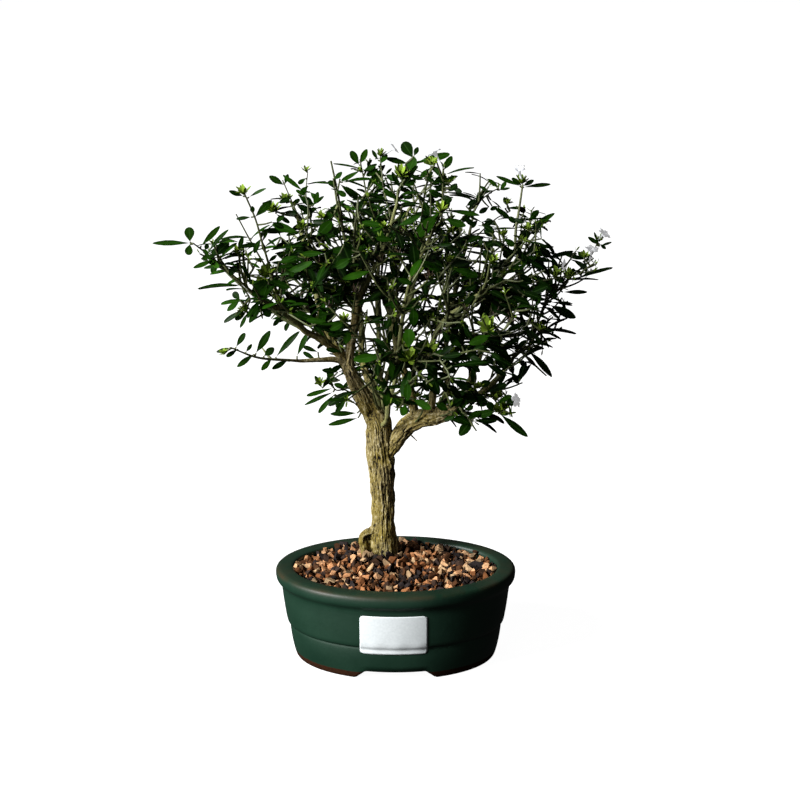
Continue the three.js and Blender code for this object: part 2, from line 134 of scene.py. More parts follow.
class NodeTree(Nodes):
    # a geometry node tree with named inputs
    def __init__(self, name, inputs):
        super().__init__(bpy.data.node_groups.new(name, "GeometryNodeTree"))
        face = self.tree.interface
        face.new_socket("Geometry", in_out="INPUT", socket_type="NodeSocketGeometry")
        self.keys = {}
        for label, kind, value in inputs:
            socket = face.new_socket(label, in_out="INPUT", socket_type="NodeSocket" + kind)
            if value is not None:
                socket.default_value = value
            self.keys[label] = socket.identifier
        face.new_socket("Geometry", in_out="OUTPUT", socket_type="NodeSocketGeometry")
        self.entry = self.tree.nodes.new("NodeGroupInput").outputs
        self.exit = self.tree.nodes.new("NodeGroupOutput").inputs

    def read(self, name, kind):
        return self.add("GeometryNodeInputNamedAttribute", {"data_type": kind}, Name=name)

    def random(self, low, high, seed, kind="FLOAT"):
        return self.add("FunctionNodeRandomValue", {"data_type": kind}, Min=low, Max=high, Seed=seed)

    def store(self, geometry, name, value, domain):
        return self.add("GeometryNodeStoreNamedAttribute", {"data_type": "FLOAT", "domain": domain},
                        Geometry=geometry, Name=name, Value=value)

    def onPoints(self, points, shapes, **inputs):
        # one of the shapes of a collection at each point
        picked = self.add("GeometryNodeCollectionInfo", Collection=shapes, Separate_Children=True,
                          Reset_Children=True)
        return self.add("GeometryNodeInstanceOnPoints", Points=points, Instance=picked, Pick_Instance=True,
                        **inputs)

    def close(self, geometry, material):
        whole = self.add("GeometryNodeRealizeInstances", Geometry=geometry)
        self.set(self.exit[0], self.add("GeometryNodeSetMaterial", Geometry=whole, Material=material))


def grow(source, nodeTree, values, name):
    # runs a tree on an object and keeps the result as a plain mesh
    modifier = source.modifiers.new(nodeTree.tree.name, "NODES")
    modifier.node_group = nodeTree.tree
    for label, value in values.items():
        modifier[nodeTree.keys[label]] = value
    source.update_tag()
    evaluated = source.evaluated_get(bpy.context.evaluated_depsgraph_get())
    mesh = bpy.data.meshes.new_from_object(evaluated)
    mesh.name = name
    bpy.data.objects.remove(source)
    return linked(name, mesh)


# helpers for meshes and lines

def linked(name, data):
    holder = bpy.data.objects.new(name, data)
    scene.collection.objects.link(holder)
    return holder


def meshObject(name, points, faces, material, attributes=None):
    mesh = bpy.data.meshes.new(name)
    mesh.from_pydata([tuple(p) for p in points], [], faces)
    for key, values in (attributes or {}).items():
        layer = mesh.attributes.new(key, "FLOAT", "POINT")
        layer.data.foreach_set("value", np.asarray(values, np.float32))
    mesh.materials.append(material)
    mesh.shade_smooth()
    return linked(name, mesh)


def band(a, b, count, inward=False):
    # the faces between two rings of points that start at a and at b
    quads = [(a + k, a + (k + 1) % count, b + (k + 1) % count, b + k) for k in range(count)]
    return [(q[0], q[3], q[2], q[1]) for q in quads] if inward else quads


def lid(start, count):
    return tuple(start + k for k in range(count))


def turnOutwards(data, weld=False):
    mesh = bmesh.new()
    mesh.from_mesh(data)
    if weld:
        bmesh.ops.remove_doubles(mesh, verts=mesh.verts, dist=1e-6)
        bmesh.ops.dissolve_degenerate(mesh, edges=mesh.edges, dist=1e-6)
    bmesh.ops.recalc_face_normals(mesh, faces=mesh.faces)
    mesh.to_mesh(data)
    mesh.free()


def applyModifiers(piece):
    evaluated = piece.evaluated_get(bpy.context.evaluated_depsgraph_get())
    old = piece.data
    piece.data = bpy.data.meshes.new_from_object(evaluated)
    piece.modifiers.clear()
    bpy.data.meshes.remove(old)


def joined(pieces, name):
    with bpy.context.temp_override(active_object=pieces[0], selected_editable_objects=pieces,
                                   selected_objects=pieces, object=pieces[0]):
        bpy.ops.object.join()
    pieces[0].name = name
    return pieces[0]


def shapeCollection(name, shapes):
    holder = bpy.data.collections.new(name)
    scene.collection.children.link(holder)
    for piece in shapes:
        for old in list(piece.users_collection):
            old.objects.unlink(piece)
        holder.objects.link(piece)
    return holder


def dropCollection(holder):
    for piece in list(holder.objects):
        bpy.data.objects.remove(piece)
    bpy.data.collections.remove(holder)


def finishPiece(piece, nodes):
    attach(piece, "root")
    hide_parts(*nodes)
    print("made", piece.name, len(piece.data.polygons), "faces")


def bell(value, middle, width):
    return math.exp(-((value - middle) / width) ** 2)


def unit(v):
    return v / max(np.linalg.norm(v), 1e-9)


def spread(values, count):
    # the values, evenly spaced over this many places
    return np.interp(np.linspace(0, 1, count), np.linspace(0, 1, len(values)), values)


def smoothRoute(points, spacing):
    # an evenly spaced line through the given points, in mm
    p = [np.array(q, float) for q in points]
    p = [2 * p[0] - p[1], *p, 2 * p[-1] - p[-2]]
    fine = []
    for a, b, c, d in zip(p, p[1:], p[2:], p[3:]):
        ab, bc, cd = (max(np.linalg.norm(v), 1e-6) ** 0.5 for v in (b - a, c - b, d - c))
        leave = ((b - a) / ab - (c - a) / (ab + bc) + (c - b) / bc) * bc
        arrive = ((c - b) / bc - (d - b) / (bc + cd) + (d - c) / cd) * bc
        for t in np.linspace(0, 1, 12, endpoint=False):
            fine.append(b + leave * t + (3 * (c - b) - 2 * leave - arrive) * t**2
                        + (2 * (b - c) + leave + arrive) * t**3)
    fine.append(p[-2])
    fine = np.array(fine)
    reach = np.r_[0, np.cumsum(np.linalg.norm(np.diff(fine, axis=0), axis=1))]
    count = max(4, round(reach[-1] / spacing) + 1)
    wanted = np.linspace(0, reach[-1], count)
    return np.stack([np.interp(wanted, reach, fine[:, k]) for k in range(3)], axis=1)


def sidesOf(line):
    # two directions square to the line at each point, carried along without twist
    tangents = np.gradient(line, axis=0)
    tangents /= np.linalg.norm(tangents, axis=1)[:, None]
    first = np.cross(tangents[0], (0, 1, 0) if abs(tangents[0][1]) < 0.9 else (1, 0, 0))
    firsts = [unit(first)]
    for tangent in tangents[1:]:
        firsts.append(unit(firsts[-1] - tangent * np.dot(firsts[-1], tangent)))
    firsts = np.array(firsts)
    return tangents, firsts, np.cross(tangents, firsts)


# camera, floor and light

camera = {
    "target": (2.8, 0, 169.8),  # mm
    "distance": 1500,
    "down": 15.84,  # degrees below level
    "lens": 106.65,
    "sensor": 36,
    "farthest": 1000,  # m
}
studio = {
    "floorTone": (0.3, 0.3, 0.3),
    "floorGlow": 0.97,
    "floorRadius": 200,
    "ambient": 0.025,
    "aim": (0, 0, 0.17),
    # place and side in m, and power
    "lights": {
        "key": ((-1.7, -0.98, 1.12), 0.8, 145),
        "fill": ((-1.0, -2.0, 0.75), 1.1, 7),
        "rim": ((-0.7, 1.4, 1.2), 0.8, 0.6),
        "back": ((0.6, 1.2, 2.0), 1.0, 2),
    },
}


def addCamera():
    data = bpy.data.cameras.new("camera")
    data.lens = camera["lens"]
    data.sensor_width = camera["sensor"]
    data.clip_end = camera["farthest"]
    down = math.radians(camera["down"])
    away = Vector((0, -math.cos(down), math.sin(down))) * camera["distance"]
    holder = linked("camera", data)
    holder.location = (Vector(camera["target"]) + away) * mm
    holder.rotation_euler = (math.pi / 2 - down, 0, 0)
    scene.camera = holder


def addLight(name, place, size, power):
    data = bpy.data.lights.new(name, "AREA")
    data.size = size
    data.energy = power
    holder = linked(name, data)
    holder.location = place
    aim = Vector(studio["aim"]) - holder.location
    holder.rotation_euler = aim.to_track_quat("-Z", "Y").to_euler()


def addFloor():
    bpy.ops.mesh.primitive_circle_add(vertices=96, radius=studio["floorRadius"], fill_type="NGON")
    floor = bpy.context.object
    floor.name = "floor"
    paint = Paint("paleFloor")
    floor.data.materials.append(paint.finish(studio["floorTone"], 0.9, Specular_IOR_Level=0,
                                             Emission_Color=(1, 1, 1), Emission_Strength=studio["floorGlow"]))
    floor.visible_diffuse = floor.visible_glossy = False  # its glow stays off the pot and the leaves


def addStudio():
    world = bpy.data.worlds.new("studio")
    world.use_nodes = True
    sky = Nodes(world.node_tree)
    background = sky.tree.nodes["Background"].inputs
    seen = sky.add("ShaderNodeLightPath").outputs["Is Camera Ray"]
    sky.set(background["Color"], (1, 1, 1))
    sky.set(background["Strength"], sky.math("MULTIPLY_ADD", seen, 1 - studio["ambient"], studio["ambient"]))
    scene.world = world
    scene.view_settings.view_transform = "Standard"
    for name, light in studio["lights"].items():
        addLight(name + "Light", *light)
    addFloor()


# pot, in mm

potShape = {
    "height": 58,
    "rimStretch": 17.5,
    "footStretch": 13.5,
    "underside": 6,
    "footRing": 44,  # half depth where the foot starts
    "floor": 12,
    "footGapTop": 19,
    "footGapBottom": 26,
    "drainX": 28,
    "drainRadius": 6,
    "mouth": 48,
    "segments": 224,
    "core": 20,
}
glaze = {
    "green": (0.0010, 0.0130, 0.0058),
    "paleGreen": (0.0062, 0.028, 0.0145),
    "mottle": (0.008, 0.03, 0.02),
    "thinGlaze": (0.026, 0.021, 0.010),
    "thinOnRim": (58, 1.4),  # height, and how far it reaches
    "thinOnEdge": (58.7, 0.5),
    "edgeShare": 0.3,
    "rimInside": 50,  # half depth where the rim turns into the mouth
    "clay": (0.030, 0.010, 0.0035),
    "clayTop": 3,
    "clayFade": 3.4,
    "roughness": 0.48,
    "shine": 0.42,
    "dullLip": 0.24,
    "dullFoot": 0.34,
}
potProfile = [
    (0, 6), (20, 6), (40, 6), (41.6, 5.6), (42.2, 4.4), (42.6, 2), (43.2, 0.5), (44, 0), (46, 0), (49.4, 0),
    (50.6, 0.4), (51.1, 1.2), (51.6, 3), (52.2, 6), (52.8, 10), (53.2, 14), (53.45, 18), (53.42, 20.4),
    (53.3, 21.4), (53.15, 21.9), (53.15, 22.2), (53.5, 22.6), (54.4, 23.0), (54.95, 24.0), (55.3, 26),
    (55.9, 32), (56.4, 39), (56.7, 44.5), (56.9, 47.2), (57.3, 48.8), (58.2, 50.0), (59.3, 51.2),
    (59.85, 52.6), (60, 54.2), (60, 55.7), (59.8, 56.9), (59.3, 57.9), (58.5, 58.6), (57.4, 59.05),
    (56, 59.2), (53, 59.3), (50.4, 59.3), (49.2, 59.1), (48.4, 58.5), (48.05, 57.6), (48, 56), (48, 50),
    (48, 40), (47.2, 30), (45.6, 18), (44.4, 14.2), (41.5, 12), (30, 12), (12, 12), (0, 12),
]


def stretchAt(z):
    grown = potShape["rimStretch"] - potShape["footStretch"]
    return potShape["footStretch"] + grown * z / potShape["height"]


def ovalPoint(radius, angle, z):
    # the oval's straight part grows with the radius up to the core, and then stays the same
    reach = stretchAt(z) * min(1, radius / potShape["core"])
    return Vector(((radius + reach) * math.cos(angle), radius * math.sin(angle), z))


def ovalRing(radius, z, segments):
    return [ovalPoint(radius, 2 * math.pi * k / segments, z) for k in range(segments)]


def footLift(x):
    # how far the foot ring is cut away at this place along the pot
    share = (potShape["footGapBottom"] - abs(x)) / (potShape["footGapBottom"] - potShape["footGapTop"])
    return potShape["underside"] * min(1, max(0, share))


def glazeMaterial():
    paint = Paint("darkGreenGlaze")
    cloud = paint.noise(28, 5)
    mottle = paint.noise(420, 3)
    thin = paint.attribute("thinGlaze")
    body = paint.mix(paint.ramp(cloud, (0.3, 0), (0.75, 1)), glaze["green"], glaze["paleGreen"])
    body = paint.mix(paint.math("MULTIPLY", mottle, 0.25), body, glaze["mottle"])
    edge = paint.math("MULTIPLY", thin, paint.ramp(paint.noise(60, 5), (0.35, 0.1), (0.7, 1)))
    body = paint.mix(edge, body, glaze["thinGlaze"])
    wander = paint.math("MULTIPLY_ADD", paint.noise(150, 4), 0.5, -0.25)
    foot = paint.ramp(paint.math("ADD", paint.attribute("clay"), wander), (0.45, 0), (0.55, 1))
    darkClay = tuple(0.5 * c for c in glaze["clay"])
    grit = paint.ramp(paint.noise(900, 4), (0.3, darkClay), (0.7, glaze["clay"]))
    rough = paint.math("MULTIPLY_ADD", cloud, 0.18, glaze["roughness"] - 0.09)
    rough = paint.math("MULTIPLY_ADD", foot, 0.4, rough, clamp=True)
    shine = paint.math("MULTIPLY_ADD", thin, -glaze["dullLip"], glaze["shine"])
    shine = paint.math("MULTIPLY_ADD", foot, -glaze["dullFoot"], shine)
    return paint.finish(paint.mix(foot, body, grit), rough, Specular_IOR_Level=shine,
                        Normal=paint.bump(mottle, 0.00008))


def makePot():
    segments = potShape["segments"]
    points, faces, thin, clay = [], [], [], []
    for radius, z in potProfile:
        ring = ovalRing(radius, z, segments if radius else 1)
        for spot in ring:
            if spot.z < potShape["underside"]:
                spot.z = max(spot.z, footLift(spot.x))
        points += [spot * mm for spot in ring]
        onRim = bell(z, *glaze["thinOnRim"]) if radius > glaze["rimInside"] else 0
        thin += [max(onRim, glaze["edgeShare"] * bell(z, *glaze["thinOnEdge"]))] * len(ring)
        bare = max(0, 1 - max(0, z - glaze["clayTop"]) / glaze["clayFade"])
        inside = radius < potShape["footRing"] and z > glaze["clayTop"]
        clay += [0 if inside else bare] * len(ring)
    last = len(points) - 1
    for start in range(1, last - segments, segments):
        faces += band(start, start + segments, segments)
    faces += [(0, 1 + (k + 1) % segments, 1 + k) for k in range(segments)]
    faces += [(last, last - segments + k, last - segments + (k + 1) % segments) for k in range(segments)]
    piece = meshObject("glazedPot", points, faces, glazeMaterial(), {"thinGlaze": thin, "clay": clay})
    turnOutwards(piece.data, weld=True)
    drillDrains(piece)
    finishPiece(piece, ["pot"])


def drillDrains(piece):
    for side in (-1, 1):
        bpy.ops.mesh.primitive_cylinder_add(vertices=48, radius=potShape["drainRadius"] * mm, depth=20 * mm,
                                            location=(side * potShape["drainX"] * mm, 0, 9 * mm))
        drill = bpy.context.object
        cut = piece.modifiers.new("drain", "BOOLEAN")
        cut.object = drill
        cut.operation = "DIFFERENCE"
        cut.solver = "EXACT"
        applyModifiers(piece)
        bpy.data.objects.remove(drill)


# label: a blank white sticker that follows the wall, in mm

labelShape = {
    "width": 42.6,
    "height": 26.6,
    "middleX": -1.2,
    "middleZ": 31.8,
    "corner": 2.2,
    "off": 0.42,
    "thickness": 0.16,
    "crease": (21.6, 0.9),  # height, and how far it reaches
    "creaseDepth": 0.55,
    "ripple": (24, 4),
    "rippleDepth": 0.12,
    # height and half depth of the wall behind it
    "wall": [(18, 53.4), (19.8, 53.4), (24, 54.95), (26, 55.35), (32, 55.9), (39, 56.4), (46, 56.8)],
    "columns": 44,
    "rows": 30,
}


def labelMaterial():
    paint = Paint("stickerPaper")
    fibre = paint.noise(700, 3)
    colour = paint.ramp(fibre, (0.2, (0.56, 0.60, 0.61)), (0.8, (0.66, 0.70, 0.71)))
    return paint.finish(colour, 0.42, Normal=paint.bump(fibre, 0.00002))


def makeLabel():
    columns, rows, corner = labelShape["columns"], labelShape["rows"], labelShape["corner"]
    halfWidth, halfHeight = labelShape["width"] / 2, labelShape["height"] / 2
    points = []
    for row in range(rows + 1):
        z = halfHeight * (2 * row / rows - 1)
        inCorner = max(0, abs(z) - (halfHeight - corner))
        reach = halfWidth - corner + math.sqrt(max(0, corner**2 - inCorner**2))
        height = z + labelShape["middleZ"]
        crease = labelShape["creaseDepth"] * bell(height, *labelShape["crease"])
        ripple = labelShape["rippleDepth"] * bell(height, *labelShape["ripple"])
        wall = np.interp(height, *zip(*labelShape["wall"])) + labelShape["off"] - crease
        for column in range(columns + 1):
            x = reach * (2 * column / columns - 1) + labelShape["middleX"]
            radius = wall + ripple * math.sin(x * 0.45 + 1)
            across = 1 - (x / (radius + stretchAt(height))) ** 2
            points.append(Vector((x, -radius * math.sqrt(across), height)) * mm)
    faces = []
    for row in range(rows):
        first = row * (columns + 1)
        faces += [(a, a + 1, a + columns + 2, a + columns + 1) for a in range(first, first + columns)]
    piece = meshObject("blankSticker", points, faces, labelMaterial())
    thick = piece.modifiers.new("paper", "SOLIDIFY")
    thick.thickness = labelShape["thickness"] * mm
    thick.offset = -1
    applyModifiers(piece)
    finishPiece(piece, ["label"])


# drain nets, in mm

drainNet = {
    "side": 20,
    "strands": 9,
    "strandRadius": 0.45,
    "strandSides": 6,
    "lift": 0.8,  # over the pot's floor
}


def netMaterial():
    paint = Paint("blackNetPlastic")
    return paint.finish(paint.ramp(paint.noise(500, 3), (0.3, 0.006), (0.7, 0.014)), 0.55)


def makeDrainNets():
    net = NodeTree("drainNet", [
        ("Side", "Float", 0.02),
        ("Strands", "Int", 9),
        ("Strand Radius", "Float", 0.0005),
        ("Middle", "Vector", None),
    ])
    entry = net.entry
    grid = net.add("GeometryNodeMeshGrid", Size_X=entry["Side"], Size_Y=entry["Side"],
                   Vertices_X=entry["Strands"], Vertices_Y=entry["Strands"])
    strands = net.add("GeometryNodeMeshToCurve", Mesh=grid)
    section = net.add("GeometryNodeCurvePrimitiveCircle", Resolution=drainNet["strandSides"],
                      Radius=entry["Strand Radius"])
    swept = net.add("GeometryNodeCurveToMesh", Curve=strands, Profile_Curve=section, Fill_Caps=True)
    material = netMaterial()
    net.close(net.add("GeometryNodeTransform", Geometry=swept, Translation=entry["Middle"]), material)
    for name, side in (("left", -1), ("right", 1)):
        source = meshObject("netSource", [(0, 0, 0)], [], material)
        piece = grow(source, net, {
            "Side": drainNet["side"] * mm,
            "Strands": drainNet["strands"],
            "Strand Radius": drainNet["strandRadius"] * mm,
            "Middle": Vector((side * potShape["drainX"], 0, potShape["floor"] + drainNet["lift"])) * mm,
        }, "drainNet_" + name)
        finishPiece(piece, ["drain_mesh_" + name])


# soil and gravel, in mm

bed = {
    "edge": 58,
    "mound": 7.5,
    "moundRadius": 52,
    "moundMiddle": (-7, 20),
    "moundPower": 1.4,
    "bumpSize": 0.35,
    "rings": 26,
    "segments": 120,
}
soil = {
    "gap": 0.3,  # to the pot's wall
    "below": 4.6,  # the top of the gravel
    "bumps": 1.2,
    "wall": [(47.7, 40), (45.3, 18.3), (41.2, 12.3)],  # half depth and height, downwards
}
gravel = {
    "gap": 0.9,
    "bumps": 1.6,
    "layers": [(-1.5, 4.3, 7), (-3.6, 4.2, 8)],  # height against the bed, spacing and seed
    "smallest": 1.9,  # half size of a stone
    "largest": 5.1,
    "shapes": 16,
    "corners": 11,
}


def bedHeight(x, y):
    away = math.hypot(x - bed["moundMiddle"][0], y - bed["moundMiddle"][1]) / bed["moundRadius"]
    return bed["edge"] + bed["mound"] * max(0, 1 - away) ** bed["moundPower"]


def soilMaterial():
    paint = Paint("darkSoil")
    grain = paint.noise(500, 6, rough=0.7)
    colour = paint.ramp(grain, (0.3, (0.006, 0.004, 0.003)), (0.7, (0.03, 0.018, 0.011)))
    return paint.finish(colour, 0.95, Normal=paint.bump(grain, 0.0008))


def bedPatch(gap, lift, bumps):
    # a round sheet in the pot's mouth that follows the mound, from the middle outwards
    points, segments = [(0, 0, bedHeight(0, 0) + lift)], bed["segments"]
    for ring in range(1, bed["rings"] + 1):
        for spot in ovalRing((potShape["mouth"] - gap) * ring / bed["rings"], bed["edge"], segments):
            spot.z = bedHeight(spot.x, spot.y) + lift
            spot.z += bumps * noise.noise(Vector((spot.x, spot.y, 0)) * bed["bumpSize"])
            points.append(tuple(spot))
    faces = [(0, 1 + k, 1 + (k + 1) % segments) for k in range(segments)]
    for start in range(1, len(points) - segments, segments):
        faces += band(start, start + segments, segments, inward=True)
    return points, faces


def makeSoil():
    points, faces = bedPatch(soil["gap"], -soil["below"], soil["bumps"])
    segments = bed["segments"]
    for radius, z in soil["wall"]:
        faces += band(len(points) - segments, len(points), segments, inward=True)
        points += [tuple(spot) for spot in ovalRing(radius, z, segments)]
    faces.append(lid(len(points) - segments, segments)[::-1])
    piece = meshObject("pottingSoil", [Vector(p) * mm for p in points], faces, soilMaterial())
    finishPiece(piece, ["soil"])


def stoneMaterial():
    paint = Paint("crushedStone")
    colour = paint.ramp(
        paint.attribute("tone"),
        (0.0, (0.014, 0.011, 0.011)), (0.14, (0.026, 0.018, 0.016)), (0.28, (0.042, 0.019, 0.008)),
        (0.44, (0.075, 0.028, 0.009)), (0.56, (0.20, 0.076, 0.026)), (0.68, (0.37, 0.165, 0.068)),
        (0.79, (0.54, 0.285, 0.14)), (0.90, (0.46, 0.30, 0.16)), (1.0, (0.12, 0.08, 0.045)),
    )
    speck = paint.noise(600, 5, rough=0.7)
    damp = paint.ramp(paint.noise(22, 2), (0.3, 0.85), (0.5, 1.05))
    shade = paint.mix(1.0, paint.ramp(speck, (0.32, 0.5), (0.62, 1.1)), damp, "MULTIPLY")
    place = paint.add("ShaderNodeSeparateXYZ", Vector=paint.add("ShaderNodeTexCoord").outputs["Object"])
    back = paint.math("MULTIPLY", place.outputs["Y"], 20, clamp=True)  # painted shade of the crown: the stones darken behind the trunk
    shade = paint.mix(back, shade, paint.mix(1.0, shade, (0.6, 0.6, 0.6), "MULTIPLY"))
    return paint.finish(paint.mix(1.0, colour, shade, "MULTIPLY"), 0.85, Specular_IOR_Level=0.12,
                        Normal=paint.bump(speck, 0.0002))


def stoneShape(index, material):
    # a chip of stone: the hull of a few points, longer one way than the others
    rng = np.random.RandomState(100 + index)
    mesh = bmesh.new()
    stretch = np.array([1.0, rng.uniform(0.65, 0.95), rng.uniform(0.5, 0.8)])
    for _ in range(gravel["corners"]):
        mesh.verts.new(unit(rng.normal(size=3)) * stretch * rng.uniform(0.8, 1.05))
    hull = bmesh.ops.convex_hull(mesh, input=mesh.verts)
    bmesh.ops.delete(mesh, geom=[v for v in hull["geom_interior"] if isinstance(v, bmesh.types.BMVert)],
                     context="VERTS")
    bmesh.ops.recalc_face_normals(mesh, faces=mesh.faces)
    data = bpy.data.meshes.new("stone")
    mesh.to_mesh(data)
    mesh.free()
    data.materials.append(material)
    return bpy.data.objects.new("stone_%02d" % index, data)


def stoneScatter(material):
    scatter = NodeTree("stoneScatter", [
        ("Stones", "Collection", None),
        ("Spacing", "Float", 0.003),
        ("Smallest", "Float", 0.002),
        ("Largest", "Float", 0.004),
        ("Seed", "Int", 1),
    ])
    entry = scatter.entry
    spots = scatter.add("GeometryNodeDistributePointsOnFaces", {"distribute_method": "POISSON"},
                        Mesh=entry["Geometry"], Distance_Min=entry["Spacing"], Density_Max=400000.0,
                        Density_Factor=1.0, Seed=entry["Seed"])
    turn = scatter.add("FunctionNodeEulerToRotation",
                       Euler=scatter.random((0, 0, 0), (6.28, 6.28, 6.28), 3, "FLOAT_VECTOR"))
    placed = scatter.onPoints(spots, entry["Stones"], Rotation=turn,
                              Scale=scatter.random(entry["Smallest"], entry["Largest"], 5))
    scatter.close(scatter.store(placed, "tone", scatter.random(0.0, 1.0, 9), "INSTANCE"), material)
    return scatter


def makeGravel():
    material = stoneMaterial()
    stones = shapeCollection("stones", [stoneShape(i, material) for i in range(gravel["shapes"])])
    scatter = stoneScatter(material)
    layers = []
    for lift, spacing, seed in gravel["layers"]:
        points, faces = bedPatch(gravel["gap"], lift, gravel["bumps"])
        source = meshObject("bedSource", [Vector(p) * mm for p in points], faces, material)
        layers.append(grow(source, scatter, {
            "Stones": stones,
            "Spacing": spacing * mm,
            "Smallest": gravel["smallest"] * mm,
            "Largest": gravel["largest"] * mm,
            "Seed": seed,
        }, "gravel"))
    piece = joined(layers, "gravelBed")
    dropCollection(stones)
    finishPiece(piece, ["gravel"])


# wood: the trunk, its roots and the boughs, in mm

trunk = {
    "route": [
        (-7, 20, 40), (-7, 20, 61), (-8, 20, 79), (-8, 20, 99), (-9, 19, 117), (-11, 18, 135),
        (-12, 16, 150), (-17, 14, 161), (-23, 12, 173), (-30, 10, 187), (-33, 9, 193), (-35.5, 8, 200),
    ],
    "radii": [10.5, 9.2, 8.1, 7.4, 7.5, 8.0, 8.1, 7.3, 6.3, 5.2, 4.2, 2.2],
    "roots": [
        ((2.3, 2.6), [
            (-11, 19, 73), (-15, 18.5, 75.4), (-19.2, 18, 74.6), (-21.6, 17.5, 70.8), (-20.8, 17, 66),
            (-20.5, 16.5, 54),
        ]),
        ((2.8, 2.9), [(-12, 20.5, 76), (-15.6, 21.5, 74.5), (-17.4, 21.5, 70), (-17.6, 20, 54)]),
        ((3.4, 1.4), [(-8, 21, 50), (-24, 24, 38), (-44, 28, 26)]),
        ((3.4, 1.4), [(-6, 18, 50), (8, 8, 40), (26, -6, 30)]),
        ((3.4, 1.4), [(-7, 18, 48), (-14, 4, 36), (-28, -14, 26)]),
        ((3.4, 1.4), [(-5, 21, 50), (14, 25, 38), (38, 26, 28)]),
    ],
    # place, how wide, and how far out: a hollow goes in, and its bark is painted darker as shade
    "rootKnots": [
        ((-18.6, 16.5, 77), 1.3, 1.5), ((-22.8, 16.5, 73.2), 1.4, 0.9), ((-20.2, 15, 75.5), 1.2, -0.8),
        ((-23, 16, 69), 1.5, 0.8), ((-18.8, 15.2, 71.5), 1.5, -1.6), ((-21, 14.8, 68), 1.3, -0.7),
        ((-15.5, 16, 76), 1.3, 0.9), ((-17, 18.5, 72), 2.6, -1.2), ((-16.8, 18, 68.5), 1.6, 0.8),
    ],
    "knots": [
        ((-15.7, 8, 158), 2.2, -2.4), ((-3, 12, 139), 4.0, 1.6), ((-19, 14, 128), 6, 0.9),
        ((-7, 14, 152), 5.5, 3.0), ((-3.5, 15, 144), 4.5, 1.5), ((-21, 16.5, 77), 2.6, 1.1),
        ((-16.5, 19.5, 71), 3.4, -0.9), ((-22.5, 16, 69), 2.0, 0.9), ((-13, 12, 112), 5, 0.6),
        ((-2.5, 14, 124), 4.5, 2.0), ((-1, 14, 118), 4, -0.8), ((-15, 15, 68), 5, 1.2),
        ((1, 15, 70), 4, 1.0), ((-27, 6, 189), 3.2, 1.3), ((-8, 9, 171), 4, 0.9), ((-5, 12, 93), 3.5, 0.5),
    ],
}
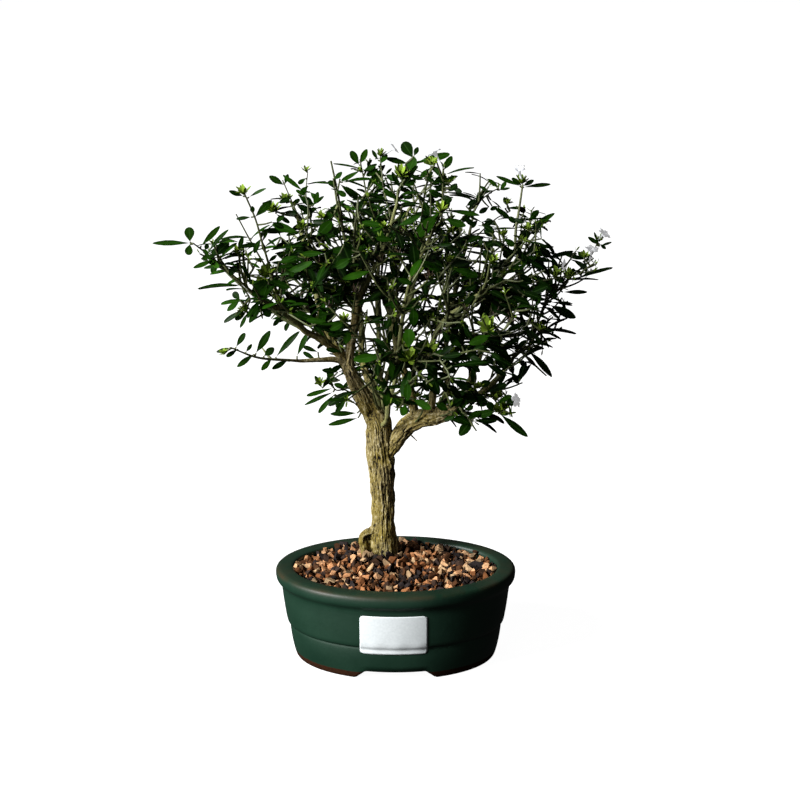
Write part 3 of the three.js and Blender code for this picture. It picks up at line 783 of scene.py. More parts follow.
# the arms of each bough: radii along the way, and the route
boughs = {
    "right": [
        ((3.5, 4.4, 5.2, 5.8, 6.0, 5.9, 5.7, 4.4, 2.8), [
            (-8, 17, 124), (-4.5, 16.5, 130), (-0.5, 15.5, 137), (4.5, 14, 145), (10, 12, 151),
            (18, 8, 155.5), (26, 4, 158), (34, 0, 162), (39, -4, 168),
        ]),
        ((2.4, 1.8, 1.0, 0.7, 0.5), [
            (34, 0, 163), (45, 2, 169), (55, 4, 174), (62, 8, 179), (68, 14, 184), (73, 22, 189),
            (80, 32, 193), (87, 42, 195), (90, 50, 203), (95, 57, 212), (99, 62, 218), (105, 66, 222),
            (113, 72, 230),
        ]),
        ((2.4, 1.1), [
            (22, 6, 157), (24, 2, 179), (22, -2, 198), (25, -6, 214), (33, -10, 227), (42, -14, 234),
            (53, -20, 245),
        ]),
        ((2.2, 1.0), [
            (28, 4, 158), (33, 16, 175), (32, 28, 192), (34, 40, 209), (38, 52, 226), (43, 64, 245),
            (48, 74, 261),
        ]),
        ((2.0, 1.1), [
            (38, -4, 167), (47, 6, 181), (55, 16, 198), (60, 26, 215), (65, 34, 233), (71, 40, 248),
        ]),
    ],
    "left": [
        ((2.6, 2.1, 1.8, 1.3, 0.9, 0.6), [
            (-31, 9, 193), (-41, 4, 204), (-49, -1, 211), (-56, -6, 216), (-62, -12, 224), (-69, -20, 231),
            (-76, -28, 238), (-84, -38, 246), (-91, -50, 256), (-99, -60, 266),
        ]),
        ((1.8, 1.1), [(-65, -15, 227), (-71, -24, 239), (-74, -32, 251)]),
    ],
    "left_low": [
        ((2.1, 0.85), [(-29, 9, 191), (-38, 5, 195), (-48, 0, 196), (-59, -6, 197), (-66, -12, 199)]),
    ],
    "left_back": [
        ((2.4, 0.9), [
            (-31, 10, 193), (-41, 13, 207), (-46, 16, 216), (-49, 20, 228), (-52, 26, 240), (-55, 32, 252),
            (-59, 38, 266), (-63, 42, 280),
        ]),
    ],
    "middle": [
        ((2.9, 2.5, 1.6, 1.2, 1.0), [
            (-30, 9, 191), (-28, 9, 205), (-26, 7, 215), (-25, 5, 226), (-23, 2, 236), (-18, -4, 248),
            (-11, -12, 262), (-6, -20, 276), (-2, -26, 290), (1, -30, 302),
        ]),
        ((1.7, 1.0), [(-23, 3, 234), (-27, 0, 248), (-29, -4, 260), (-31, -8, 275)]),
    ],
    "back_stems": [
        ((2.4, 1.0), [
            (-17, 15, 158), (-14, 24, 162), (-16, 31, 168), (-19, 36, 176), (-22, 42, 188), (-22, 48, 203),
            (-24, 54, 222), (-25, 60, 240), (-26, 66, 259), (-24, 70, 281),
        ]),
        ((1.6, 1.1), [(-8, 16, 148), (-10, 14, 160), (-13, 12, 172), (-16, 10, 184)]),
        ((1.5, 1.0), [(-6, 16, 150), (-8, 12, 166), (-9, 9, 180), (-11, 7, 194)]),
        ((1.8, 1.0), [
            (-16, 31, 168), (-11, 36, 176), (-11, 42, 184), (-11, 50, 200), (-12, 58, 221), (-11, 66, 246),
            (-10, 72, 271),
        ]),
    ],
    "centre": [
        ((2.9, 2.2, 1.7, 1.2, 0.9), [
            (13, 11, 151), (10, 10, 172), (6, 8, 185), (2, 6, 196), (0, 4, 207), (-2, 3, 216), (1, 1, 224),
            (6, -2, 231), (10, -4, 238), (11, -8, 249), (14, -12, 262), (19, -16, 273), (25, -20, 287),
        ]),
        ((1.5, 0.9), [
            (-2, 3, 216), (-4, 10, 227), (-2, 18, 240), (-1, 28, 254), (3, 36, 269), (8, 44, 283),
        ]),
    ],
    "front": [
        ((1.8, 1.0), [
            (-11, 16, 148), (-6, 4, 154), (-4, -6, 172), (0, -18, 188), (2, -34, 211), (5, -52, 241),
            (11, -70, 273),
        ]),
    ],
    "back": [
        ((2.0, 1.0), [
            (-14, 16, 152), (-11, 27, 160), (-6, 44, 171), (0, 62, 186), (5, 78, 206), (12, 90, 227),
            (16, 98, 249),
        ]),
    ],
}
# knots on the boughs, as on the trunk
boughKnots = {
    "right": [
        ((12, 9, 152), 4, 0.7), ((22, 2, 160), 4, 1.1), ((31, -2, 165), 4, 1.2), ((8, 10, 146), 3, -0.6),
    ],
    "middle": [((-25, 3, 227), 3.4, 1.0), ((-27, 6, 208), 3, 0.4)],
    "left": [((-45, -1, 208), 3, 0.5), ((-63, -14, 225), 3, 0.6)],
    "centre": [((-1, 1, 219), 3, 0.8), ((9, -6, 238), 3, 0.6)],
}
# routes of small dead twigs
thorns = {
    "right": [[(7, 13, 146), (9.2, 12, 143.7), (13.7, 8, 140.3)]],
}
bark = {
    "ridgeWidth": 1.7,  # between ridges round the trunk
    "ridgeLength": 19,
    "ridgeHeight": 0.5,
    "crackDepth": 0.45,
    "crackWidth": 0.07,  # the noise value where a crack ends
    "flakeHeight": 0.22,
    "flakeSize": 0.95,
    "lumps": 0.11,  # share of the radius
    "lumpSize": 0.13,
    "wander": 0.28,
    "fullFrom": 5,  # radius where the relief has its full height
    "flare": 0.3,  # at the foot of a bough or root
    "ringSpacing": 0.6,
    "sideLength": 0.33,
    "pale": (0.35, 0.30, 0.165),
    "tan": (0.17, 0.135, 0.055),
    "olive": (0.16, 0.12, 0.022),
    "green": (0.15, 0.165, 0.062),  # of wood that is still thin
    "greenBelow": (1.5, 2.4),  # radius where it is green, and where that ends
    "greenShare": 0.85,
    "dark": (0.006, 0.004, 0.0018),
    "deadShare": 0.15,  # how pale dead wood is against live wood
    "thorn": (0.75, 0.3),  # radii of a dead twig
    "paleBoughs": ["left_low"],
}


def barkMaterial():
    paint = Paint("furrowedBark")
    flecks = paint.noise(800, 5, stretch=(1, 1, 0.55), rough=0.7)
    streaks = paint.noise(520, 4, stretch=(1, 1, 0.14), rough=0.6)
    flecked = paint.math("MULTIPLY", paint.math("SUBTRACT", flecks, 0.5), 2.5)
    streaked = paint.math("MULTIPLY", paint.math("SUBTRACT", streaks, 0.5), 1.3)
    # the ridge value also carries the painted shade in hollows
    ridge = paint.math("MULTIPLY", paint.attribute("ridge"), 0.75)
    level = paint.math("ADD", paint.math("ADD", flecked, streaked), ridge)
    tint = paint.mix(paint.ramp(paint.noise(45, 3), (0.38, 0), (0.60, 1)), bark["tan"], bark["olive"])
    colour = paint.mix(paint.ramp(level, (0.0, 0), (0.34, 1)), bark["dark"], tint)
    colour = paint.mix(paint.ramp(level, (0.56, 0), (0.92, 1)), colour, bark["pale"])
    colour = paint.mix(paint.attribute("green"), colour, bark["green"])
    return paint.finish(colour, 0.85, Specular_IOR_Level=0.2,
                        Normal=paint.bump(paint.math("ADD", flecks, streaks), 0.0005))


def barkAt(angle, reach, radius, seed):
    # how far the bark stands out in mm, and how pale it is there
    around = Vector((math.cos(angle), math.sin(angle), 0)) * radius
    slow = Vector((around.x, around.y, reach * 0.5))
    wander = bark["wander"] * noise.noise_vector(slow * 0.16 + Vector((0, 0, seed)))
    spot = around / bark["ridgeWidth"] + Vector((0, 0, reach / bark["ridgeLength"] + seed)) + wander
    ridge = noise.noise(spot)
    fine = noise.noise(Vector((spot.x * 2.3, spot.y * 2.3, reach / 7 + seed)))
    crackSpot = Vector((spot.x * 0.9, spot.y * 0.9, reach / 16)) + Vector((9, 4, seed))
    crack = max(0, 1 - abs(noise.noise(crackSpot)) / bark["crackWidth"])
    flakeSpot = Vector((around.x * bark["flakeSize"], around.y * bark["flakeSize"], reach * 0.5))
    flake = noise.noise(flakeSpot + Vector((3, seed, 8)))
    lump = noise.noise(Vector((around.x, around.y, reach)) * bark["lumpSize"] + Vector((seed, 5, 0)))
    size = min(1, radius / bark["fullFrom"])
    lift = size * (bark["ridgeHeight"] * (1.6 * ridge + fine) + bark["flakeHeight"] * flake * 1.6)
    lift += bark["lumps"] * radius * lump - size * bark["crackDepth"] * crack
    return lift, min(1, max(0, 0.66 + 0.45 * ridge + 0.35 * fine + 0.4 * flake - 0.55 * crack))


def addWood(bag, route, thickness, seed, knots=(), flare=bark["flare"], dead=False, pale=False):
    # a bark-covered tube along a route, closed at both ends
    line = smoothRoute(route, bark["ringSpacing"])
    radii = spread(thickness, len(line))
    knots = [(np.array(place), width, out) for place, width, out in knots]
    _, firsts, seconds = sidesOf(line)
    sides = max(8, int(2 * math.pi * max(radii) / bark["sideLength"]))
    reach = np.r_[0, np.cumsum(np.linalg.norm(np.diff(line, axis=0), axis=1))]
    start = len(bag["points"])
    greens = bark["greenShare"] * (1 - np.interp(radii, bark["greenBelow"], (0, 1)))
    for i, centre in enumerate(line):
        radius = radii[i] * (1 + flare * math.exp(-reach[i] / (1.6 * radii[0])))
        for k in range(sides):
            angle = 2 * math.pi * k / sides
            lift, ridge = barkAt(angle, reach[i], radius, seed)
            way = firsts[i] * math.cos(angle) + seconds[i] * math.sin(angle)
            spot = centre + way * (radius + lift)
            for place, width, out in knots:
                near = math.exp(-np.dot(spot - place, spot - place) / width**2)
                spot = spot + way * out * near
                # painted shade: the bark in a hollow is darker
                ridge = max(0, ridge + min(0, out) * near * 0.6)
            bag["points"].append(spot)
            bag["ridge"].append(ridge * bark["deadShare"] if dead else min(1, ridge + 0.5 * pale))
            bag["green"].append(0 if dead or pale else greens[i])
    for i in range(len(line) - 1):
        bag["faces"] += band(start + i * sides, start + (i + 1) * sides, sides)
    bag["faces"] += [lid(start, sides)[::-1], lid(start + (len(line) - 1) * sides, sides)]


def emptyBag():
    return {"points": [], "faces": [], "ridge": [], "green": []}


def woodPiece(bag, name, material):
    points = [Vector(p) * mm for p in bag["points"]]
    return meshObject(name, points, bag["faces"], material, {"ridge": bag["ridge"], "green": bag["green"]})


def makeTrunk(material):
    bag = emptyBag()
    addWood(bag, trunk["route"], trunk["radii"], 1, trunk["knots"], flare=0)
    for index, (thickness, route) in enumerate(trunk["roots"]):
        addWood(bag, route, thickness, 20 + index, trunk["rootKnots"])
    finishPiece(woodPiece(bag, "trunkWood", material), ["trunk"])


def makeBoughs(material):
    for number, (name, arms) in enumerate(boughs.items()):
        bag, pale = emptyBag(), name in bark["paleBoughs"]
        for index, (thickness, route) in enumerate(arms):
            flare = 0 if thickness[0] < thickness[1] else bark["flare"]
            seed = 40 + 7 * number + index
            addWood(bag, route, thickness, seed, boughKnots.get(name, []), flare, pale=pale)
        for route in thorns.get(name, []):
            addWood(bag, route, bark["thorn"], 90, dead=True)
        finishPiece(woodPiece(bag, "boughWood_" + name, material), ["bough_" + name])


# shoots and leaves, in mm

# bough, which of its arms, how far along it, where the spray ends, and where its side twigs end
sprays = {
    "left_tip": ("left", 0, 1, (-119, -75, 287), [(-108, -64, 284)]),
    "left_upper": ("left", 0, 0.84, (-94, -54, 276), [(-84, -40, 268)]),
    "left_lower": ("left", 0, 0.69, (-92, -44, 239), [(-82, -24, 229)]),
    "left_crest": ("left", 1, 1, (-90, -50, 312), [(-96, -38, 297), (-74, -50, 266)]),
    "low_left": ("left_low", 0, 1, (-101, -38, 214), [(-83, -16, 208)]),
    "left_back_tip": ("left_back", 0, 1, (-72, 47, 302), [(-77, 34, 285)]),
    "left_back_upper": ("left_back", 0, 0.84, (-56, 50, 307), [(-47, 46, 278)]),
    "left_back_lower": ("left_back", 0, 0.54, (-70, 18, 263), [(-59, 4, 280)]),
    "middle_tip": ("middle", 0, 1, (6, -34, 327), []),
    "middle_side": ("middle", 0, 0.62, (-14, -34, 282), [(-26, -26, 275)]),
    "middle_left": ("middle", 1, 1, (-38, -12, 314), [(-23, -2, 300), (-45, -20, 284)]),
    "middle_low": ("middle", 0, 0.36, (-43, -22, 264), [(-37, -18, 245)]),
    "back_stems_tip": ("back_stems", 0, 1, (-23, 72, 311), [(-15, 64, 297)]),
    "back_stems_left": ("back_stems", 0, 0.69, (-41, 68, 260), [(-37, 80, 236)]),
    "back_stems_right": ("back_stems", 1, 1, (-10, 76, 311), [(-1, 84, 286)]),
    "back_stems_low": ("back_stems", 1, 0.55, (4, 78, 257), [(-8, 96, 242)]),
    "centre_tip": ("centre", 0, 1, (29, -28, 323), [(19, -20, 321)]),
    "centre_rear": ("centre", 1, 1, (11, 52, 309), [(22, 48, 303)]),
    "front_tip": ("front", 0, 1, (19, -94, 304), [(7, -88, 297)]),
    "front_low": ("front", 0, 0.51, (-10, -62, 216), [(12, -52, 209)]),
    "front_middle": ("front", 0, 0.75, (28, -78, 258), [(-4, -76, 259)]),
    "right_up_tip": ("right", 2, 1, (58, -32, 267), [(67, -36, 256)]),
    "right_up_low": ("right", 2, 0.86, (57, -32, 222), [(37, -36, 215)]),
    "right_rear_tip": ("right", 3, 1, (67, 92, 288), [(53, 84, 284), (75, 86, 274)]),
    "right_rear_up": ("right", 3, 0.85, (33, 60, 279), [(29, 76, 259)]),
    "right_rear_low": ("right", 3, 0.49, (82, 90, 219), [(60, 94, 212)]),
    "right_tall_tip": ("right", 4, 1, (81, 48, 299), [(88, 58, 275), (97, 60, 252)]),
    "right_tall_low": ("right", 4, 0.61, (68, 20, 269), [(78, 14, 230)]),
    "far_right_tip": ("right", 1, 1, (127, 78, 242), [(133, 84, 255)]),
    "far_right_up": ("right", 1, 0.9, (103, 58, 243), [(91, 72, 236)]),
    "far_right_middle": ("right", 1, 0.68, (106, 62, 200), [(95, 40, 193)]),
    "far_right_low": ("right", 1, 0.5, (97, 28, 178), [(74, 20, 176)]),
    "right_cluster": ("right", 1, 0.1, (49, -20, 184), [(34, -22, 180)]),
    "right_low": ("right", 0, 1, (65, -14, 171), [(49, -14, 160)]),
    "trunk_left": ("trunk", 0, 0.87, (-47, 2, 174), [(-41, -4, 185)]),
    "back_tip": ("back", 0, 1, (19, 106, 281), [(36, 106, 266)]),
    "back_low": ("back", 0, 0.45, (48, 104, 227), [(29, 102, 240)]),
}
# Places by column and row are read in the camera's own frame, 800 wide and 800 high.
frameSize = 800
pixel = 0.65  # mm across one pixel at the tree
# shoots that show: depths in mm of foot and tip, width in pixels, and columns and rows from foot to tip
frontShoots = [
    ((-50, -75), 3.4, [(241, 285), (221, 266), (206, 253), (190, 243)]),
    ((-52, -56), 3.0, [(270, 273), (264, 264), (250, 240), (236, 213)]),
    ((-46, -50), 3.8, [(271, 275), (268, 262), (262, 242), (255, 218), (247, 198)]),
    ((-30, -40), 3.0, [(241, 285), (250, 300), (247, 312)]),
    ((30, 47), 2.8, [(318, 255), (303, 225), (297, 213), (285, 188)]),
    ((20, 30), 2.4, [(310, 215), (306, 195), (306, 175)]),
    ((-4, -20), 4.6, [(354, 262), (354, 240), (356, 216), (359, 198)]),
    ((-10, -14), 4.0, [(340, 280), (330, 268), (318, 252), (304, 236)]),
    ((-12, -34), 6.0, [(360, 294), (367, 285), (377, 262), (384, 240), (389, 225), (396, 205), (399, 186)]),
    ((-8, -20), 4.2, [(358, 296), (364, 278), (371, 258), (377, 247), (383, 237)]),
    ((66, 72), 3.2, [(372, 240), (368, 215), (366, 193), (360, 166)]),
    ((66, 74), 3.6, [(394, 245), (390, 215), (384, 190), (380, 160)]),
    ((-30, -36), 3.0, [(398, 190), (408, 172), (413, 158)]),
    ((30, 50), 2.8, [(414, 240), (414, 205), (413, 175)]),
    ((30, 50), 3.4, [(418, 250), (424, 198), (428, 176), (431, 166)]),
    ((-12, -28), 4.4, [(422, 253), (432, 232), (441, 212), (443, 185), (444, 168)]),
    ((-10, -24), 3.6, [(447, 310), (445, 298), (443, 280), (447, 256), (450, 234)]),
    ((-12, -20), 3.4, [(438, 326), (439, 305), (445, 285), (450, 268)]),
    ((60, 88), 3.0, [(459, 222), (475, 205), (490, 193), (500, 189)]),
    ((60, 80), 2.6, [(470, 243), (483, 230), (497, 218), (507, 205)]),
    ((36, 48), 5.0, [(515, 250), (516, 228), (519, 210), (522, 188)]),
    ((10, 20), 4.2, [(500, 278), (505, 266), (515, 250), (519, 240)]),
    ((36, 46), 3.4, [(520, 300), (523, 268), (528, 232)]),
    ((-24, -32), 5.0, [(473, 304), (480, 294), (486, 282), (490, 266)]),
    ((-22, -26), 4.0, [(476, 306), (484, 299), (491, 292)]),
    ((-18, -22), 4.2, [(474, 336), (472, 320), (473, 305)]),
    ((-8, -20), 5.0, [(432, 346), (435, 335), (440, 328), (447, 320), (455, 314), (463, 307)]),
    ((-14, -18), 4.6, [(447, 320), (448, 308), (446, 298)]),
    ((-30, -36), 3.2, [(472, 372), (475, 362), (481, 350), (489, 334)]),
    ((44, 80), 4.4, [(503, 358), (520, 352), (527, 348), (533, 340), (538, 322), (546, 302), (557, 291),
                     (568, 279), (585, 260)]),
    ((80, 84), 2.8, [(583, 262), (592, 254), (600, 243)]),
    ((60, 62), 3.0, [(534, 338), (540, 331)]),
    ((4, 14), 4.0, [(481, 390), (497, 371)]),
    ((0, 16), 3.4, [(483, 394), (505, 374)]),
    ((-8, -14), 4.0, [(440, 410), (456, 408), (474, 416), (500, 412)]),
    ((-8, -18), 3.6, [(452, 392), (449, 384)]),
    ((-4, -24), 3.4, [(404, 405), (400, 380), (397, 352)]),
    ((4, 0), 2.0, [(389, 420), (390, 400), (394, 381)]),
    ((6, 0), 5.0, [(398, 356), (394, 340), (391, 322), (391, 302)]),
    ((0, -36), 4.0, [(409, 400), (411, 380), (410, 362)]),
    ((-10, -30), 3.4, [(436, 380), (430, 366), (427, 354)]),
    ((2, -30), 2.6, [(348, 388), (336, 390), (330, 386)]),
    ((4, -4), 2.4, [(362, 410), (350, 400), (335, 395)]),
]
# shoots that carry no leaves of their own
bareShoots = [
    ((-8, -12), 4.2, [(343, 232), (339, 200), (331, 161)]),
    ((-8, -14), 2.6, [(337, 291), (332, 278)]),
]
# leaves that show at the edge of the crown: depth in mm, then column and row of stalk and tip, and width
edgeLeaves = {
    -75: [
        (190, 243, 152, 243, 6), (190, 242, 189, 227, 10), (190, 244, 188, 255, 8), (201, 246, 220, 226, 6),
        (208, 252, 228, 229, 4), (214, 256, 229, 242, 10), (214, 260, 193, 268, 5), (205, 250, 208, 244, 5),
    ],
    -56: [
        (226, 264, 203, 268, 4), (234, 270, 209, 273, 3), (251, 217, 236, 219, 4), (238, 252, 243, 236, 5),
        (240, 285, 197, 287, 4), (249, 237, 220, 238, 3), (251, 238, 269, 224, 3), (238, 262, 234, 270, 5),
        (262, 246, 246, 242, 2), (240, 300, 233, 292, 7), (255, 249, 246, 257, 3), (250, 262, 260, 268, 3),
    ],
    -50: [
        (243, 196, 229, 191, 5), (249, 197, 266, 188, 3), (246, 197, 240, 187, 4), (255, 217, 272, 200, 8),
        (253, 214, 252, 206, 5), (264, 247, 281, 236, 3), (268, 262, 277, 255, 4), (266, 255, 262, 242, 4),
        (269, 250, 303, 245, 4), (262, 242, 268, 230, 3), (282, 258, 302, 249, 4), (270, 262, 300, 262, 3),
    ],
    47: [
        (284, 185, 269, 176, 7), (285, 184, 288, 174, 5), (303, 191, 283, 175, 5), (290, 197, 280, 203, 5),
        (298, 195, 314, 206, 8), (306, 196, 296, 190, 4), (310, 206, 310, 220, 5), (311, 206, 324, 196, 4),
        (314, 205, 318, 192, 6), (325, 214, 345, 200, 4), (276, 246, 268, 239, 3),
    ],
    -44: [
        (240, 300, 227, 311, 6), (250, 300, 220, 303, 3), (249, 308, 223, 322, 4), (248, 312, 240, 328, 4),
        (262, 303, 249, 323, 7), (263, 306, 270, 317, 9), (282, 316, 273, 326, 5), (247, 311, 235, 320, 6),
        (245, 296, 243, 286, 3), (252, 310, 266, 305, 4),
    ],
    -38: [
        (234, 348, 216, 352, 5), (236, 347, 245, 333, 6), (254, 354, 237, 367, 6), (256, 353, 270, 331, 8),
        (264, 356, 274, 348, 8), (272, 358, 261, 371, 6), (288, 360, 272, 369, 6), (276, 357, 299, 331, 6),
        (297, 356, 307, 334, 6), (316, 360, 303, 352, 5), (238, 349, 226, 357, 5), (246, 352, 252, 344, 4),
    ],
    0: [
        (333, 388, 306, 396, 5), (333, 392, 304, 405, 5), (335, 394, 318, 413, 5), (347, 397, 335, 414, 6),
        (357, 413, 330, 414, 6), (358, 418, 328, 425, 6), (331, 386, 330, 367, 8), (322, 388, 315, 376, 5),
        (322, 388, 330, 378, 5), (346, 388, 334, 384, 6), (340, 397, 336, 408, 4),
    ],
    -14: [
        (339, 184, 312, 182, 3), (340, 184, 358, 199, 7), (343, 182, 373, 178, 3), (343, 230, 324, 238, 6),
        (345, 215, 330, 207, 5), (341, 205, 357, 210, 3), (352, 222, 336, 222, 3), (356, 212, 366, 203, 4),
    ],
    72: [
        (359, 165, 351, 151, 8), (360, 164, 367, 149, 7), (360, 168, 333, 163, 3), (361, 170, 341, 181, 5),
        (362, 172, 377, 164, 5), (380, 164, 387, 154, 6), (383, 158, 406, 163, 6), (379, 168, 366, 176, 7),
        (380, 168, 378, 184, 7), (366, 193, 385, 198, 5), (368, 196, 352, 200, 4), (376, 217, 371, 202, 9),
        (378, 160, 372, 150, 4), (384, 190, 372, 180, 3), (385, 175, 392, 168, 3),
    ],
    -35: [
        (413, 158, 403, 142, 12), (414, 156, 418, 147, 5), (400, 182, 386, 175, 6),
        (404, 186, 416, 180, 6), (398, 200, 384, 190, 6), (410, 172, 418, 166, 4), (400, 188, 392, 172, 5),
    ],
    50: [
        (417, 162, 450, 154, 8), (431, 166, 424, 158, 5), (430, 168, 420, 178, 6), (432, 166, 438, 172, 6),
        (414, 190, 404, 182, 3), (424, 198, 436, 192, 5), (414, 203, 399, 200, 3),
    ],
    -27: [
        (444, 170, 452, 156, 7), (446, 174, 474, 166, 3), (443, 178, 434, 168, 5), (446, 192, 479, 197, 3),
        (442, 198, 430, 190, 6), (440, 212, 415, 237, 13), (441, 212, 449, 199, 9), (444, 180, 458, 176, 4),
        (441, 204, 452, 200, 5), (445, 210, 480, 215, 4),
    ],
    86: [
        (499, 188, 488, 179, 5), (499, 190, 510, 188, 3), (500, 190, 506, 182, 5), (478, 204, 456, 190, 3),
        (492, 206, 510, 218, 6), (505, 208, 523, 208, 3), (491, 200, 502, 208, 2), (478, 205, 478, 192, 3),
        (507, 206, 504, 197, 5), (490, 193, 480, 186, 4), (482, 222, 493, 220, 3), (482, 222, 462, 213, 3),
    ],
    48: [
        (520, 186, 496, 176, 5), (524, 187, 551, 184, 4), (522, 186, 512, 178, 5), (523, 186, 534, 180, 5),
        (529, 220, 539, 210, 7), (529, 218, 519, 214, 3), (530, 228, 555, 213, 6), (528, 233, 539, 232, 3),
        (517, 224, 509, 217, 6), (517, 228, 490, 229, 3), (526, 222, 516, 222, 4), (535, 246, 554, 247, 4),
        (540, 262, 534, 242, 6), (540, 258, 543, 244, 6),
    ],
    60: [
        (546, 258, 574, 251, 5), (552, 256, 557, 271, 7), (552, 278, 541, 266, 6), (553, 278, 546, 290, 8),
        (562, 254, 584, 259, 5), (550, 290, 536, 283, 8), (552, 282, 530, 276, 5), (548, 300, 530, 298, 5),
    ],
    82: [
        (584, 260, 578, 252, 4), (585, 262, 592, 256, 4), (600, 246, 612, 242, 3), (600, 245, 588, 237, 5),
        (576, 278, 613, 267, 3), (572, 280, 599, 278, 3), (563, 292, 588, 292, 5), (566, 284, 556, 277, 7),
        (600, 244, 606, 249, 4), (599, 244, 594, 232, 3), (570, 278, 574, 268, 5),
    ],
    58: [
        (551, 302, 573, 305, 4), (550, 305, 576, 318, 10), (544, 306, 561, 320, 3), (541, 329, 577, 332, 2),
        (543, 331, 562, 339, 3), (530, 340, 554, 347, 4), (538, 322, 547, 322, 6), (530, 345, 545, 349, 4),
        (534, 340, 546, 342, 3), (536, 318, 526, 322, 5),
    ],
    34: [
        (528, 350, 553, 377, 7), (522, 353, 537, 367, 4), (511, 358, 513, 375, 5), (507, 371, 499, 384, 5),
        (515, 350, 527, 340, 6), (513, 374, 518, 384, 6), (511, 372, 520, 380, 3), (516, 356, 521, 364, 2),
    ],
    -16: [
        (473, 366, 474, 385, 7), (476, 386, 452, 381, 4), (489, 398, 457, 394, 10), (478, 386, 490, 382, 8),
        (474, 404, 488, 404, 6), (462, 405, 446, 402, 9), (462, 402, 474, 392, 8), (468, 404, 450, 412, 7),
        (474, 417, 459, 436, 11), (474, 418, 498, 432, 3), (500, 414, 528, 437, 8), (496, 411, 476, 416, 9),
        (449, 411, 436, 403, 8), (452, 414, 470, 424, 6), (450, 408, 462, 398, 8), (456, 416, 444, 420, 5),
        (478, 392, 458, 384, 9), (486, 392, 506, 384, 8), (470, 398, 455, 411, 8), (490, 402, 470, 396, 9),
        (484, 410, 468, 418, 7), (497, 404, 512, 396, 8), (480, 400, 462, 396, 9), (468, 392, 450, 396, 8),
        (506, 405, 514, 400, 9), (500, 406, 504, 398, 7), (498, 414, 509, 414, 4), (494, 412, 488, 402, 8),
    ],
}
